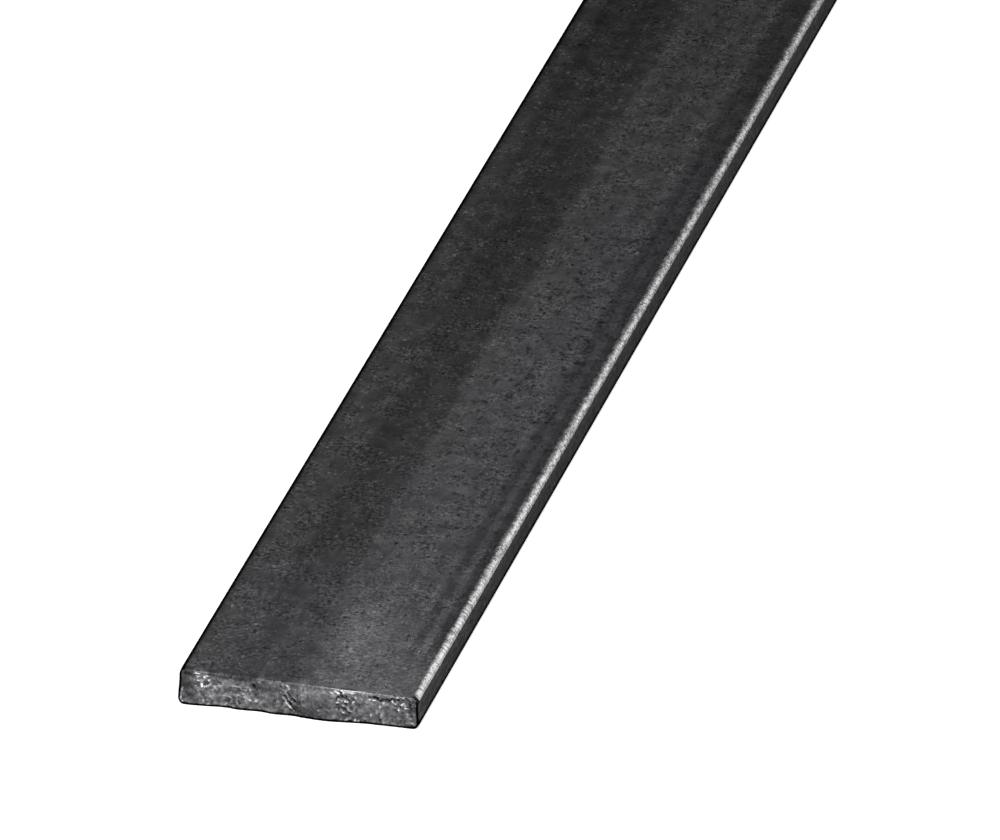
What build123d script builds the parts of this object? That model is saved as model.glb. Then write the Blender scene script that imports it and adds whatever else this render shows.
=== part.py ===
from build123d import *
import os

# Hot-rolled mild steel flat, 40 x 6 mm, cropped to one metre in a bar shear.
# One piece. Millimetres; +X runs across the flat, +Y along it, +Z up, and the
# origin is the middle of the underside. The near end faces -Y.

# ------------------------------------------------------------- rolled section
WIDTH = 40.0
THICKNESS = 6.0
LENGTH = 1000.0  # between the two blade lines
EDGE_RADIUS = 1.2  # the rolls leave the four long edges rounded

# ---------------------------------------------------------------- shear marks
# A blade leaves four zones down the end of a bar: the edge is drawn over where
# the blade enters, then rubbed flat, then torn through to a foot with a burr.
DRAW_LENGTH = 1.6  # how far back along the bar the edge is drawn down
DRAW_SLOPE = 0.14  # slope at which the drawn edge leaves the flat
BURNISH_HEIGHT = 1.4  # rubbed flat by the blade
BLADE_CLEARANCE = 0.25  # gap between the blades, which the tear leans across
BURR_HEIGHT = 0.3
BURR_REACH = 0.1  # how far the burr turns out past the tear

# Each cropped end, read at places across the width from the -X edge to the +X
# edge: (share of the width, depth of the drawn edge, how far the foot stands out).
# The first and last places lie just outside the bar, so the blades clear its edges.
NEAR_MARKS = (
    (-0.037, 0.30, 1.22),
    (0.060, 0.40, 1.28),
    (0.120, 0.75, 1.00),
    (0.190, 0.98, 0.66),
    (0.262, 0.95, 0.84),
    (0.330, 0.68, 0.58),
    (0.407, 0.45, 0.80),
    (0.475, 0.42, 0.58),
    (0.540, 0.36, 0.80),
    (0.607, 0.36, 0.90),
    (0.675, 0.42, 0.62),
    (0.740, 0.36, 0.22),
    (0.820, 0.32, -0.05),
    (0.900, 0.30, -0.16),
    (1.037, 0.35, -0.20),
)
FAR_MARKS = (
    (-0.037, 0.45, 0.10),
    (0.134, 0.30, 0.30),
    (0.360, 0.28, -0.15),
    (0.554, 0.38, -0.35),
    (0.737, 0.30, 0.05),
    (0.909, 0.40, 0.25),
    (1.037, 0.65, -0.20),
)

# Tears dragged down the near end face: start, stop and depth. Places on the face
# are (share of the width, share of the thickness up from the underside).
TEARS = (
    ((0.433, 0.560), (0.483, 0.165), 0.22),
    ((0.452, 0.675), (0.488, 0.445), 0.18),
    ((0.659, 0.700), (0.700, 0.560), 0.22),
    ((0.668, 0.520), (0.722, 0.330), 0.18),
    ((0.716, 0.640), (0.742, 0.545), 0.16),
)
TEAR_HEAD = 0.3  # a tear is deepest this share of the way down it

# Round dents knocked into the near end face: place, width and depth.
DENTS = (
    ((0.112, 0.647), 1.9, 0.20),
    ((0.314, 0.733), 0.8, 0.18),
    ((0.921, 0.655), 0.9, 0.16),
)


def blade_plane(share, side):
    """Plane square across the bar at a share of its width.

    Local x runs into the bar from the blade line and local y runs from the
    middle of the thickness towards the face that the blade marks start from.
    side is -1 for the near end, the held side of its cut, marked from the top
    down, and +1 for the far end, the falling side of the cut before, marked
    from the underside up.
    """
    on_blade_line = ((share - 0.5) * WIDTH, side * LENGTH / 2, THICKNESS / 2)
    return Plane(origin=on_blade_line, x_dir=(0, -side, 0), z_dir=(1, 0, 0))


def waste_block(marks, side):
    """Everything past one blade line, lofted through the marks read across it.

    It runs past the bar by its thickness above, below and endways.
    """
    half = THICKNESS / 2
    outside = half + THICKNESS
    burr_run = (THICKNESS + BURR_HEIGHT) / BURR_HEIGHT  # carries the burr's slope outside
    with BuildPart() as waste:
        for share, drawn, stand_out in marks:
            foot = BLADE_CLEARANCE - stand_out
            lead_in = (DRAW_LENGTH + THICKNESS, half + DRAW_SLOPE * THICKNESS)
            draw_start = (DRAW_LENGTH, half)
            draw_end = (0, half - drawn)
            burnish_end = (0, half - drawn - BURNISH_HEIGHT)
            tear_end = (foot, BURR_HEIGHT - half)
            burr_end = (foot - BURR_REACH * burr_run, -outside)
            with BuildSketch(blade_plane(share, side)):
                with BuildLine():
                    Line(lead_in, draw_start)
                    Spline(draw_start, draw_end, tangents=[(-1, -DRAW_SLOPE), (0, -1)])
                    Line(draw_end, burnish_end)
                    Spline(burnish_end, tear_end, tangents=[(foot, -THICKNESS), (0, -1)])
                    Polyline(
                        tear_end,
                        burr_end,
                        (-THICKNESS, -outside),
                        (-THICKNESS, outside),
                        (lead_in[0], outside),
                        lead_in,
                    )
                make_face()
        loft()
    return waste.part


def on_near_face(bar, place):
    """Point where a line along the bar first meets its near end face."""
    share, up = place
    outside = ((share - 0.5) * WIDTH, -LENGTH / 2 - THICKNESS, up * THICKNESS)
    hits = bar.find_intersection_points(Axis(outside, (0, 1, 0)))
    return min((point for point, normal in hits), key=lambda point: point.Y)


near_waste = waste_block(NEAR_MARKS, -1)
far_waste = waste_block(FAR_MARKS, 1)

with BuildPart() as flat_bar:
    # Rolled section, run long at both ends so that the blades have waste to take.
    with BuildSketch(Plane.XZ):
        with Locations((0, THICKNESS / 2)):
            RectangleRounded(WIDTH, THICKNESS, EDGE_RADIUS)
    extrude(amount=LENGTH / 2 + THICKNESS / 2, both=True)

    # Both ends cropped.
    add(near_waste, mode=Mode.SUBTRACT)
    add(far_waste, mode=Mode.SUBTRACT)

    # Places of the tears and dents, read off the cropped face before it is marked.
    tear_ends = [
        (on_near_face(flat_bar.part, start), on_near_face(flat_bar.part, stop))
        for start, stop, depth in TEARS
    ]
    dent_centres = [on_near_face(flat_bar.part, place) for place, width, depth in DENTS]

    # Tears, each a spindle lying along the face, pointed at both ends.
    for (head, tail), (start, stop, depth) in zip(tear_ends, TEARS):
        run = tail - head
        with BuildSketch(Plane(origin=head, x_dir=run, z_dir=run.cross(Vector(0, 1, 0)))):
            with BuildLine():
                Spline((0, 0), (TEAR_HEAD * run.length, depth), (run.length, 0))
                Line((run.length, 0), (0, 0))
            make_face()
        revolve(axis=Axis(head, run), mode=Mode.SUBTRACT)

    # Dents, each the cap of a ball whose chord on the face is the dent's width.
    for centre, (place, width, depth) in zip(dent_centres, DENTS):
        ball_radius = (width**2 / 4 + depth**2) / (2 * depth)
        with Locations(centre - Vector(0, ball_radius - depth, 0)):
            Sphere(ball_radius, mode=Mode.SUBTRACT)

flat_bar.part.label = "flat_bar"

os.makedirs("parts", exist_ok=True)
export_step(flat_bar.part, "parts/flat_bar.step")
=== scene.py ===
"""Hot-rolled steel flat, one metre long, cropped in a bar shear at both ends.

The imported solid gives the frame. This script lays a finer skin over it, with the
torn ends in relief, gives it its mill scale and bare steel, and sets it on a pale
studio floor. Meshes are worked out in millimetres and written in metres.
"""

import logging
import math
from dataclasses import dataclass, field
from enum import Enum

import bpy
import numpy as np
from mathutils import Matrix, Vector


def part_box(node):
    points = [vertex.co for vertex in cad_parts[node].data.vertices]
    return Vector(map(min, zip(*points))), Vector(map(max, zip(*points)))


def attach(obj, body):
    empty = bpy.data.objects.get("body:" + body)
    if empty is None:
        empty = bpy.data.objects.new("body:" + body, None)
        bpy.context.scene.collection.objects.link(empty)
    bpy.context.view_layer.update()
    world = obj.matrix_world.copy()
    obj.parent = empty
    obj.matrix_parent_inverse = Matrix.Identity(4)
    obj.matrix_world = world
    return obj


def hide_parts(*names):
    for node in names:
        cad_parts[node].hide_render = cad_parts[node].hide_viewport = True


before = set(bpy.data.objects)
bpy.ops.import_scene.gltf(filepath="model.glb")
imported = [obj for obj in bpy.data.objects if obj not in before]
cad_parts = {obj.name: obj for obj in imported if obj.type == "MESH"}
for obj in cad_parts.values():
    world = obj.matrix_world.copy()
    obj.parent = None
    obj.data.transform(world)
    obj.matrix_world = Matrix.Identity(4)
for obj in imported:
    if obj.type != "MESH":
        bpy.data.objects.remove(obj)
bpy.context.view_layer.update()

LOG = logging.getLogger("flat")
MM = 0.001
PIECE = "rolled_flat"
NODE = "flat_bar"
BODY = "root"
SLOT = "mill_scale_steel"

Socket = bpy.types.NodeSocket
Colour = tuple[float, float, float]
Triple = tuple[float, float, float]
Stops = tuple[tuple[float, float], ...]


# ------------------------------------------------------------------ small maths
def smooth_step(value: np.ndarray | float, low: float, high: float) -> np.ndarray:
    """Rise from 0 at low to 1 at high as 3t^2 - 2t^3.

    Args:
        value: Where to read the step.
        low: Value at which the step starts.
        high: Value at which it is complete. It may be below low.

    Returns:
        The step, of value's shape.
    """
    share = np.clip((value - low) / (high - low), 0.0, 1.0)
    return share * share * (3.0 - 2.0 * share)


def bell(value: np.ndarray | float, middle: float, reach: float) -> np.ndarray:
    """Bell exp(-((value - middle) / reach)^2)."""
    return np.exp(-(((value - middle) / reach) ** 2))


def curve_through(at: np.ndarray, places: np.ndarray, values: np.ndarray) -> np.ndarray:
    """Smooth curve through given values: cubic Hermite pieces whose slope at each
    place is the mean slope of its two neighbours.

    Args:
        at: Where to read the curve.
        places: Increasing places.
        values: Value at each place.

    Returns:
        The curve's value at each of at.
    """
    slope = np.gradient(values, places)
    held = np.clip(at, places[0], places[-1])
    left = np.clip(np.searchsorted(places, held) - 1, 0, len(places) - 2)
    gap = places[left + 1] - places[left]
    t = (held - places[left]) / gap
    t2 = t * t
    t3 = t2 * t
    return (
        (2 * t3 - 3 * t2 + 1) * values[left]
        + (t3 - 2 * t2 + t) * gap * slope[left]
        + (3 * t2 - 2 * t3) * values[left + 1]
        + (t3 - t2) * gap * slope[left + 1]
    )


def softened(field_: np.ndarray, reach: tuple[float, float]) -> np.ndarray:
    """Field blurred by a bell of the given reach, by damping each of its waves by
    exp(-2 (pi f r)^2). The field is mirrored first so that its rims don't mix.

    Args:
        field_: Values on a grid.
        reach: Bell's standard deviation in cells, down the rows and along them.

    Returns:
        The blurred field, of the same shape.
    """
    rows, columns = field_.shape
    mirrored = np.block([[field_, field_[:, ::-1]], [field_[::-1], field_[::-1, ::-1]]])
    down = np.fft.fftfreq(2 * rows)[:, None] * reach[0]
    along = np.fft.rfftfreq(2 * columns)[None] * reach[1]
    damping = np.exp(-2.0 * np.pi**2 * (down**2 + along**2))
    blurred = np.fft.irfft2(np.fft.rfft2(mirrored) * damping, mirrored.shape)
    return blurred[:rows, :columns]


def grain(shape: tuple[int, int], reach: tuple[float, float], seed: int) -> np.ndarray:
    """Seeded random field with grains of one size: white noise softened by the
    reach less the same noise softened by twice the reach, at unit deviation.

    Args:
        shape: Rows and columns.
        reach: Grain size in cells, down the rows and along them.
        seed: Seed of the noise.

    Returns:
        A field of mean 0 and standard deviation 1.
    """
    white = np.random.default_rng(seed).standard_normal(shape)
    wide = (2.0 * reach[0], 2.0 * reach[1])
    banded = softened(white, reach) - softened(white, wide)
    return (banded - banded.mean()) / banded.std()


def ragged_line(at: np.ndarray, spacing: float, seed: int) -> np.ndarray:
    """Seeded random line: a smooth curve through random levels at even spacing.

    Args:
        at: Where to read the line.
        spacing: Gap between the levels.
        seed: Seed of the levels.

    Returns:
        The line, of mean about 0 and deviation about 1.
    """
    places = np.arange(-24.0, 24.0 + spacing, spacing)
    levels = np.random.default_rng(seed).standard_normal(len(places))
    return curve_through(at, places, levels)


def grid_quads(index: np.ndarray) -> np.ndarray:
    """Quads between the points of a grid.

    Args:
        index: Numbers of the points, rows by columns.

    Returns:
        Four numbers a quad.
    """
    corners = [index[:-1, :-1], index[1:, :-1], index[1:, 1:], index[:-1, 1:]]
    return np.stack(corners, -1).reshape(-1, 4)


@dataclass(frozen=True)
class Chips:
    """Broken metal: each place belongs to the nearest of points strewn one to a
    square of a lattice, and each point's chip has its own level and its own tilt."""

    pitch: float
    seed: int

    def over(self, x: np.ndarray, z: np.ndarray) -> tuple[np.ndarray, np.ndarray, np.ndarray]:
        """Reads the chips.

        Args:
            x: Places across.
            z: Heights.

        Returns:
            The chip's level, of deviation 1; its rise from its own point along its
            tilt, in pitches; and how much further the next point is, in pitches.
        """
        count = 64  # squares a side before the lattice repeats
        table = np.random.default_rng(self.seed).uniform(size=(5, count, count))
        to_deviation = 3.46  # a number drawn evenly from 0 to 1 deviates about 1/3.46
        column = np.floor(x / self.pitch).astype(int)
        row = np.floor(z / self.pitch).astype(int)
        nearest = np.full(x.shape, 9.0)
        second = np.full(x.shape, 9.0)
        level = np.zeros(x.shape)
        rise = np.zeros(x.shape)
        for across in (-1, 0, 1):
            for up in (-1, 0, 1):
                drawn = table[:, (column + across) % count, (row + up) % count]
                to_x = x / self.pitch - (column + across) - drawn[0]
                to_z = z / self.pitch - (row + up) - drawn[1]
                gap = np.hypot(to_x, to_z)
                closer = gap < nearest
                second = np.where(closer, nearest, np.minimum(second, gap))
                nearest = np.where(closer, gap, nearest)
                level = np.where(closer, (drawn[2] - 0.5) * to_deviation, level)
                tilt = (drawn[3] - 0.5) * to_x + (drawn[4] - 0.5) * to_z
                rise = np.where(closer, tilt, rise)
        return level, rise, second - nearest


# ------------------------------------------------------------------- the section
@dataclass(frozen=True)
class RolledSection:
    """Rectangle with rounded corners, middle of its underside at the origin."""

    width: float = 40.0
    thickness: float = 6.0
    edge_radius: float = 1.2

    @classmethod
    def of_node(cls, node: str) -> "RolledSection":
        """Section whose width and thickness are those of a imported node's box."""
        low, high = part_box(node)
        return cls(round((high[0] - low[0]) / MM, 3), round((high[2] - low[2]) / MM, 3))

    def lines(self, size: float, cell: float) -> np.ndarray:
        """Grid lines over one side, with whole cells in both corner squares.

        Args:
            size: Length of the side.
            cell: Size of a cell.

        Returns:
            Places of the lines from -size/2 to size/2.
        """
        flat_half = size / 2 - self.edge_radius
        in_corner = round(self.edge_radius / cell)
        in_flat = round(2 * flat_half / cell)
        low = np.linspace(-size / 2, -flat_half, in_corner + 1)
        middle = np.linspace(-flat_half, flat_half, in_flat + 1)
        return np.concatenate([low[:-1], middle, -low[-2::-1]])

    def grid(self, cell: float) -> tuple[np.ndarray, np.ndarray]:
        """Grid over the section. In a corner square of sides a, b from the arc's
        centre each point moves along its ray to max(a, b), so squares become arcs.

        Args:
            cell: Size of a cell.

        Returns:
            x and z of the grid points, rows by place across, columns by height.
        """
        across = self.lines(self.width, cell)[:, None]
        up = self.lines(self.thickness, cell)[None, :]
        flat_x = self.width / 2 - self.edge_radius
        flat_z = self.thickness / 2 - self.edge_radius
        a = np.maximum(np.abs(across) - flat_x, 0.0) + 0.0 * up
        b = np.maximum(np.abs(up) - flat_z, 0.0) + 0.0 * across
        ray = np.hypot(a, b)
        pull = np.where(ray > 0, np.maximum(a, b) / np.maximum(ray, 1e-9), 1.0)
        x = np.sign(across) * (np.minimum(np.abs(across), flat_x) + a * pull)
        z = np.sign(up) * (np.minimum(np.abs(up), flat_z) + b * pull)
        return x, z + self.thickness / 2


# ------------------------------------------------------------ marks of the shear
DRAWN, STAND_OUT = 1, 2  # columns of an end's marks


@dataclass(frozen=True)
class Stroke:
    """A line scored or thrown up on the cut face, tapering to both ends."""

    start: tuple[float, float]
    stop: tuple[float, float]
    breadth: float
    height: float  # below 0 for a groove
    glint: float = 0.0  # log of its brightness beside the steel around it: a painted highlight above 0, painted shade below 0
    crook: float = 1.0  # how far it wanders with the metal around it

    def share(self, x: np.ndarray, z: np.ndarray, power: int) -> np.ndarray:
        """Bell exp(-(d/w)^p) of the stroke, d the distance to its line and w its
        breadth times a taper 1 - 0.6 (2t-1)^4 along it.

        Args:
            x: Places across the face.
            z: Heights on the face.
            power: How steep its sides are.

        Returns:
            The stroke's share at each point.
        """
        run = np.subtract(self.stop, self.start)
        length = float(np.hypot(*run))
        along = ((x - self.start[0]) * run[0] + (z - self.start[1]) * run[1]) / length**2
        held = np.clip(along, 0.0, 1.0)
        gap = np.hypot(x - self.start[0] - held * run[0], z - self.start[1] - held * run[1])
        taper = 1.0 - 0.6 * (2.0 * held - 1.0) ** 4
        return taper * np.exp(-((gap / (self.breadth * taper)) ** power))

    def relief(self, x: np.ndarray, z: np.ndarray) -> np.ndarray:
        """Height that the stroke adds at each point."""
        return self.height * self.share(x, z, 2)

    def glow(self, x: np.ndarray, z: np.ndarray) -> np.ndarray:
        """Log brightness that the stroke adds at each point: painted highlight where
        its glint is above 0, painted shade where it is below.
        """
        return self.glint * self.share(x, z, 4)


@dataclass(frozen=True)
class Dent:
    """A round dent with the metal it displaced thrown up in a rim."""

    centre: tuple[float, float]
    radius: float
    depth: float
    rim: float = 0.05
    glint: float = 0.0  # log of the brightness of its floor, painted shade in the dent when below 0
    crook: float = 1.0  # how far it wanders with the metal around it

    def away(self, x: np.ndarray, z: np.ndarray) -> np.ndarray:
        """Distance from the centre, in radii."""
        return np.hypot(x - self.centre[0], z - self.centre[1]) / self.radius

    def relief(self, x: np.ndarray, z: np.ndarray) -> np.ndarray:
        """Bowl -d exp(-(r/R)^4) with a rim k exp(-((r - 1.15 R)/(0.25 R))^2).

        Args:
            x: Places across the face.
            z: Heights on the face.

        Returns:
            Height that the dent adds at each point.
        """
        share = self.away(x, z)
        return self.rim * bell(share, 1.15, 0.25) - self.depth * np.exp(-(share**4))

    def glow(self, x: np.ndarray, z: np.ndarray) -> np.ndarray:
        """Log brightness that the dent's floor adds at each point: painted shade when below 0."""
        return self.glint * np.exp(-(self.away(x, z) ** 4))


@dataclass(frozen=True)
class Lip:
    """A streak along the drawn edge: rubbed bare metal by its bare share, and by
    its glint a painted highlight above 0 and painted shade below 0.
    """

    start: float
    stop: float
    turn: float = 0.1  # where it lies on the draw, 0 on the blade line
    spread: float = 0.4
    bare: float = 1.0  # how much of the scale is off it
    glint: float = 1.0  # log of its brightness: painted highlight above 0, painted shade below 0

    def share(self, x: np.ndarray, turn: float) -> np.ndarray:
        """Bell of the turn about the lip's own, times a soft box between its ends.

        Args:
            x: Places across.
            turn: Where on the draw.

        Returns:
            The lip's share at each place.
        """
        soft = min(0.25, 0.3 * (self.stop - self.start))
        box = smooth_step(x, self.start - soft, self.start + soft)
        box = box * smooth_step(x, self.stop + soft, self.stop - soft)
        return box * bell(turn, self.turn, self.spread)


@dataclass(frozen=True)
class Patch:
    """A soft-edged oval place on the cut face and what it does there."""

    centre: tuple[float, float]
    size: tuple[float, float]
    amount: float

    def share(self, x: np.ndarray, z: np.ndarray) -> np.ndarray:
        """Bell a exp(-(dx/sx)^2 - (dz/sz)^2) of the patch.

        Args:
            x: Places across the face.
            z: Heights on the face.

        Returns:
            The patch's share at each point.
        """
        across = (x - self.centre[0]) / self.size[0]
        up = (z - self.centre[1]) / self.size[1]
        return self.amount * np.exp(-(across**2) - up**2)


@dataclass(frozen=True)
class Grains:
    """Seeded random fields over a cut face, each of mean 0 and deviation 1."""

    wander: np.ndarray  # for the line where the rub gives way to the tear
    coarse: np.ndarray
    middle: np.ndarray
    fine: np.ndarray
    rubbed: np.ndarray  # streaks that run down the face


@dataclass(frozen=True)
class ShearedEnd:
    """One cropped end in its own frame: x across, z from the foot of the tear up to
    the drawn edge, and depth into the bar from the blade line."""

    section: RolledSection
    marks: tuple[Triple, ...]  # share of the width, drawn depth, stand-out of the foot
    cell: float
    seed: int
    scars: tuple[Stroke | Dent, ...] = ()
    calms: tuple[Patch, ...] = ()  # where the tear is smooth
    tone_patches: tuple[Patch, ...] = ()  # log brightness: brighter above 0, darker below; the dark band under the drawn edge is painted shade
    lips: tuple[Lip, ...] = ()
    rubbed: tuple[tuple[float, float], ...] = ((-20.0, 0.8), (20.0, 0.8))  # place, height
    roughness: float = 1.0
    draw_length: float = 1.6
    draw_turns: int = 12
    burnish_height: float = 1.4
    blade_clearance: float = 0.25
    burr_height: float = 0.3
    burr_reach: float = 0.1
    draw_raggedness: float = 0.06
    least_draw: float = 0.12
    side_draw: float = 0.12  # how far the blade pulls the two sides in
    side_inset: float = 0.08  # where the pulled side counts as the rim
    reach_limit: float = 1.19  # no relief stands out further than this
    chip_size: float = 0.8
    rim_relief: float = 0.35  # share of the relief that is left at the very rim
    rim_reach: float = 0.3  # how far in the relief is whole
    crest_reach: float = 0.35  # bell over which a crest stands out
    crest_height: float = 0.06  # height over which a crest is painted brighter and a hollow darker: painted highlight and painted shade
    crest_glow: float = 0.35
    glow_limits: tuple[float, float] = (-2.6, 2.0)
    outline_tone: float = 0.02  # tone of the dark line round the face, which is painted shade
    outline_start: float = 0.22  # where it starts to fade, in from the rim
    outline_end: float = 0.50

    def across(self, column: int, x: np.ndarray) -> np.ndarray:
        """One column of the marks read at each place across.

        Args:
            column: DRAWN for the depth of the drawn edge, STAND_OUT for the foot's.
            x: Places across.

        Returns:
            The mark's size at each place.
        """
        read = np.array(self.marks)
        share = x / self.section.width + 0.5
        return curve_through(share, read[:, 0], read[:, column])

    def drawn(self, x: np.ndarray) -> np.ndarray:
        """Depth of the drawn edge: its marks, plus a raggedness of three spacings that
        grows with that depth.

        Args:
            x: Places across.

        Returns:
            The depth at each place.
        """
        ragged = (
            0.6 * ragged_line(x, 1.1, self.seed + 20)
            + 0.45 * ragged_line(x, 0.45, self.seed + 21)
            + 0.25 * ragged_line(x, 0.22, self.seed + 22)
        )
        depth = self.across(DRAWN, x)
        ragged = self.draw_raggedness * ragged * smooth_step(depth, 0.3, 0.9)
        return np.maximum(depth + ragged, self.least_draw)

    def profile(self, x: np.ndarray, z: np.ndarray) -> np.ndarray:
        """Depth of the cut face: nothing down the burnish, then a cubic from it to
        the foot's clearance less its stand-out, then the burr turned out below.

        Args:
            x: Places across.
            z: Heights before the edge is drawn.

        Returns:
            Depth into the bar.
        """
        foot = self.blade_clearance - self.across(STAND_OUT, x)
        burnish_end = self.section.thickness - self.across(DRAWN, x) - self.burnish_height
        fall = burnish_end - self.burr_height
        t = np.clip((burnish_end - z) / fall, 0.0, 1.0)
        lean = foot * fall / self.section.thickness
        tear = foot * (3 * t**2 - 2 * t**3) + lean * (t - 2 * t**2 + t**3)
        return tear - self.burr_reach * np.clip(1.0 - z / self.burr_height, 0.0, 1.0)

    def grains_over(self, size: tuple[int, int]) -> Grains:
        """Grains of the cut face, of the same size in millimetres whatever the cell.

        Args:
            size: Rows and columns of the grid.

        Returns:
            The fields.
        """
        step = 0.1 / self.cell
        return Grains(
            wander=grain(size, (7 * step, 4 * step), self.seed),
            coarse=grain(size, (5 * step, 4 * step), self.seed + 2),
            middle=grain(size, (2.4 * step, 2.0 * step), self.seed + 3),
            fine=grain(size, (1.1 * step, 1.0 * step), self.seed + 4),
            rubbed=grain(size, (1.1 * step, 6 * step), self.seed + 5),
        )

    def torn_share(self, x: np.ndarray, z: np.ndarray, wander: np.ndarray) -> np.ndarray:
        """How much of the face is torn rather than rubbed: a step down the face at
        the height that the rub reaches, which wanders.

        Args:
            x: Places across.
            z: Heights before the edge is drawn.
            wander: Field by which the line wanders.

        Returns:
            1 where it is torn and 0 where it is rubbed.
        """
        read = np.array(self.rubbed)
        rubbed = np.interp(x, read[:, 0], read[:, 1])
        rub_end = self.section.thickness - self.across(DRAWN, x) - rubbed
        return smooth_step(z + 0.25 * wander, rub_end + 0.35, rub_end - 0.15)

    def relief(
        self, x: np.ndarray, z: np.ndarray, low: np.ndarray
    ) -> tuple[np.ndarray, np.ndarray]:
        """Fine relief: rubbed streaks down the burnish, broken chips and grains of
        three sizes down the tear, and the scars.

        Args:
            x: Places across, rows by place.
            z: Heights before the edge is drawn.
            low: The same places' heights once it is drawn, where the scars lie.

        Returns:
            Height out of the face, and log brightness of its metal, with painted
            highlights on chips and scars and painted shade in seams and grooves.
        """
        g = self.grains_over(x.shape)
        torn = self.torn_share(x, z, g.wander)
        calm = np.clip(sum(patch.share(x, low) for patch in self.calms), 0.0, 1.0)
        rough = torn * (1.0 - calm)
        bent_x = x + 0.14 * g.middle + 0.10 * g.coarse
        bent_z = z + 0.14 * np.roll(g.middle, 37, 0) + 0.10 * np.roll(g.coarse, 53, 0)
        level, rise, gap = Chips(self.chip_size, self.seed + 6).over(bent_x, bent_z)
        seam = bell(gap, 0.0, 0.22)
        broken = 0.025 * level + 0.12 * rise + 0.030 * g.coarse + 0.014 * g.middle - 0.03 * seam
        smooth = 0.010 * g.rubbed + 0.003 * g.fine + 0.016 * g.coarse
        height = self.roughness * (rough * broken + (1.0 - rough) * smooth)
        # chips brighter as they stand out and dark seams between them: painted highlight and
        # painted shade
        glow = rough * (0.14 * level - 0.18 * seam + 0.15 * g.middle + 0.10 * g.coarse)
        glow = glow + 0.05 * g.rubbed * (1.0 - torn) + 0.06 * g.middle + 0.05 * g.coarse
        wander_x = 0.05 * g.middle + 0.03 * g.fine
        wander_z = 0.05 * np.roll(g.middle, 37, 0) + 0.03 * np.roll(g.fine, 11, 1)
        for scar in self.scars:
            scar_x, scar_z = x + scar.crook * wander_x, low + scar.crook * wander_z
            height = height + scar.relief(scar_x, scar_z)
            glow = glow + scar.glow(scar_x, scar_z)
        for tone_patch in self.tone_patches:
            glow = glow + tone_patch.share(x, low)
        return height, glow

    def rim_gap(self, x: np.ndarray, z: np.ndarray) -> np.ndarray:
        """Distance in from the two sides, the foot and the rounded corners between
        them; the drawn edge doesn't count.

        Args:
            x: Places across.
            z: Heights.

        Returns:
            The distance.
        """
        radius = self.section.edge_radius
        side = self.section.width / 2 - np.abs(x) - self.side_inset
        corner = radius - np.hypot(np.maximum(radius - side, 0.0), np.maximum(radius - z, 0.0))
        return np.where((side < radius) & (z < radius), corner, np.minimum(side, z))

    def face(
        self, x: np.ndarray, z: np.ndarray, low: np.ndarray
    ) -> tuple[np.ndarray, np.ndarray]:
        """Cut face: the profile less the relief, which is held back at the rim. What
        stands out of the softened relief is painted brighter and what sinks darker,
        painted highlight and painted shade, and a dark line of painted shade runs
        round it.

        Args:
            x: Places across.
            z: Heights before the edge is drawn.
            low: The same places' heights once it is drawn.

        Returns:
            Depth into the bar, and tone of the metal with its painted highlights and shade.
        """
        height, glow = self.relief(x, z, low)
        from_side = np.minimum(self.section.width / 2 - np.abs(x), z)
        inward = np.minimum(from_side, self.section.thickness - z)
        whole = smooth_step(inward, 0.0, self.rim_reach)
        held = self.rim_relief + (1.0 - self.rim_relief) * whole
        depth = np.maximum(self.profile(x, z) - height * held, -self.reach_limit)
        reach = self.crest_reach / self.cell
        crest = height - softened(height, (reach, reach))
        # painted highlight on crests, painted shade in hollows
        glow = glow + self.crest_glow * np.tanh(crest / self.crest_height)
        # painted shade: the dark line round the face
        inside = smooth_step(self.rim_gap(x, low), self.outline_start, self.outline_end)
        outline = self.outline_tone + (1.0 - self.outline_tone) * inside
        return depth, outline * np.exp(np.clip(glow, *self.glow_limits))

    def smeared(self, x: np.ndarray, z: np.ndarray) -> np.ndarray:
        """How bare the cut face is: all of it but a ragged hem under a deeply drawn
        edge, where the scale was dragged down.

        Args:
            x: Places across.
            z: Heights before the edge is drawn.

        Returns:
            1 on bare steel and 0 on scale.
        """
        ragged = ragged_line(x, 0.5, self.seed + 23) + 0.5 * ragged_line(x, 0.2, self.seed + 24)
        deep = smooth_step(self.across(DRAWN, x), 0.55, 0.85)
        hem = np.maximum(0.12 + 0.13 * ragged, 0.0) * deep
        return smooth_step(self.section.thickness - z, hem, hem + 0.12)

    def lips_at(
        self, x: np.ndarray, turn: float, on_top: np.ndarray
    ) -> tuple[np.ndarray, np.ndarray]:
        """What the lips do to the metal at one turn of the drawn edge.

        Args:
            x: Places across.
            turn: Where on the draw.
            on_top: Share of each place that is on the drawn side.

        Returns:
            How bare it is, and its log brightness, which holds the lips' painted
            highlights and painted shade.
        """
        bare, glow = np.zeros_like(x), np.zeros_like(x)
        for lip in self.lips:
            share = on_top * lip.share(x, turn)
            bare = bare + lip.bare * share
            glow = glow + lip.glint * share
        return np.clip(bare, 0.0, 1.0), glow

    def drop(self, x: np.ndarray, turn: float) -> np.ndarray:
        """How far the drawn edge has fallen: drawn (1 - sin turn)."""
        return self.drawn(x) * (1.0 - np.sin(turn))

    def warp(
        self, x: np.ndarray, z: np.ndarray, turn: float
    ) -> tuple[np.ndarray, np.ndarray]:
        """Section drawn down and in by the blade: z less the drop weighted by
        (z/T)^2, and x pulled in by the side draw weighted by |2x/W|^24.

        Args:
            x: Places across.
            z: Heights.
            turn: 0 on the blade line, a quarter turn where the draw dies out.

        Returns:
            The warped x and z.
        """
        weight = (z / self.section.thickness) ** 2
        by_side = np.abs(2 * x / self.section.width) ** 24
        pull = self.side_draw * (1.0 - math.sin(turn)) * by_side
        return x - np.sign(x) * pull, z - self.drop(x, turn) * weight


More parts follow.
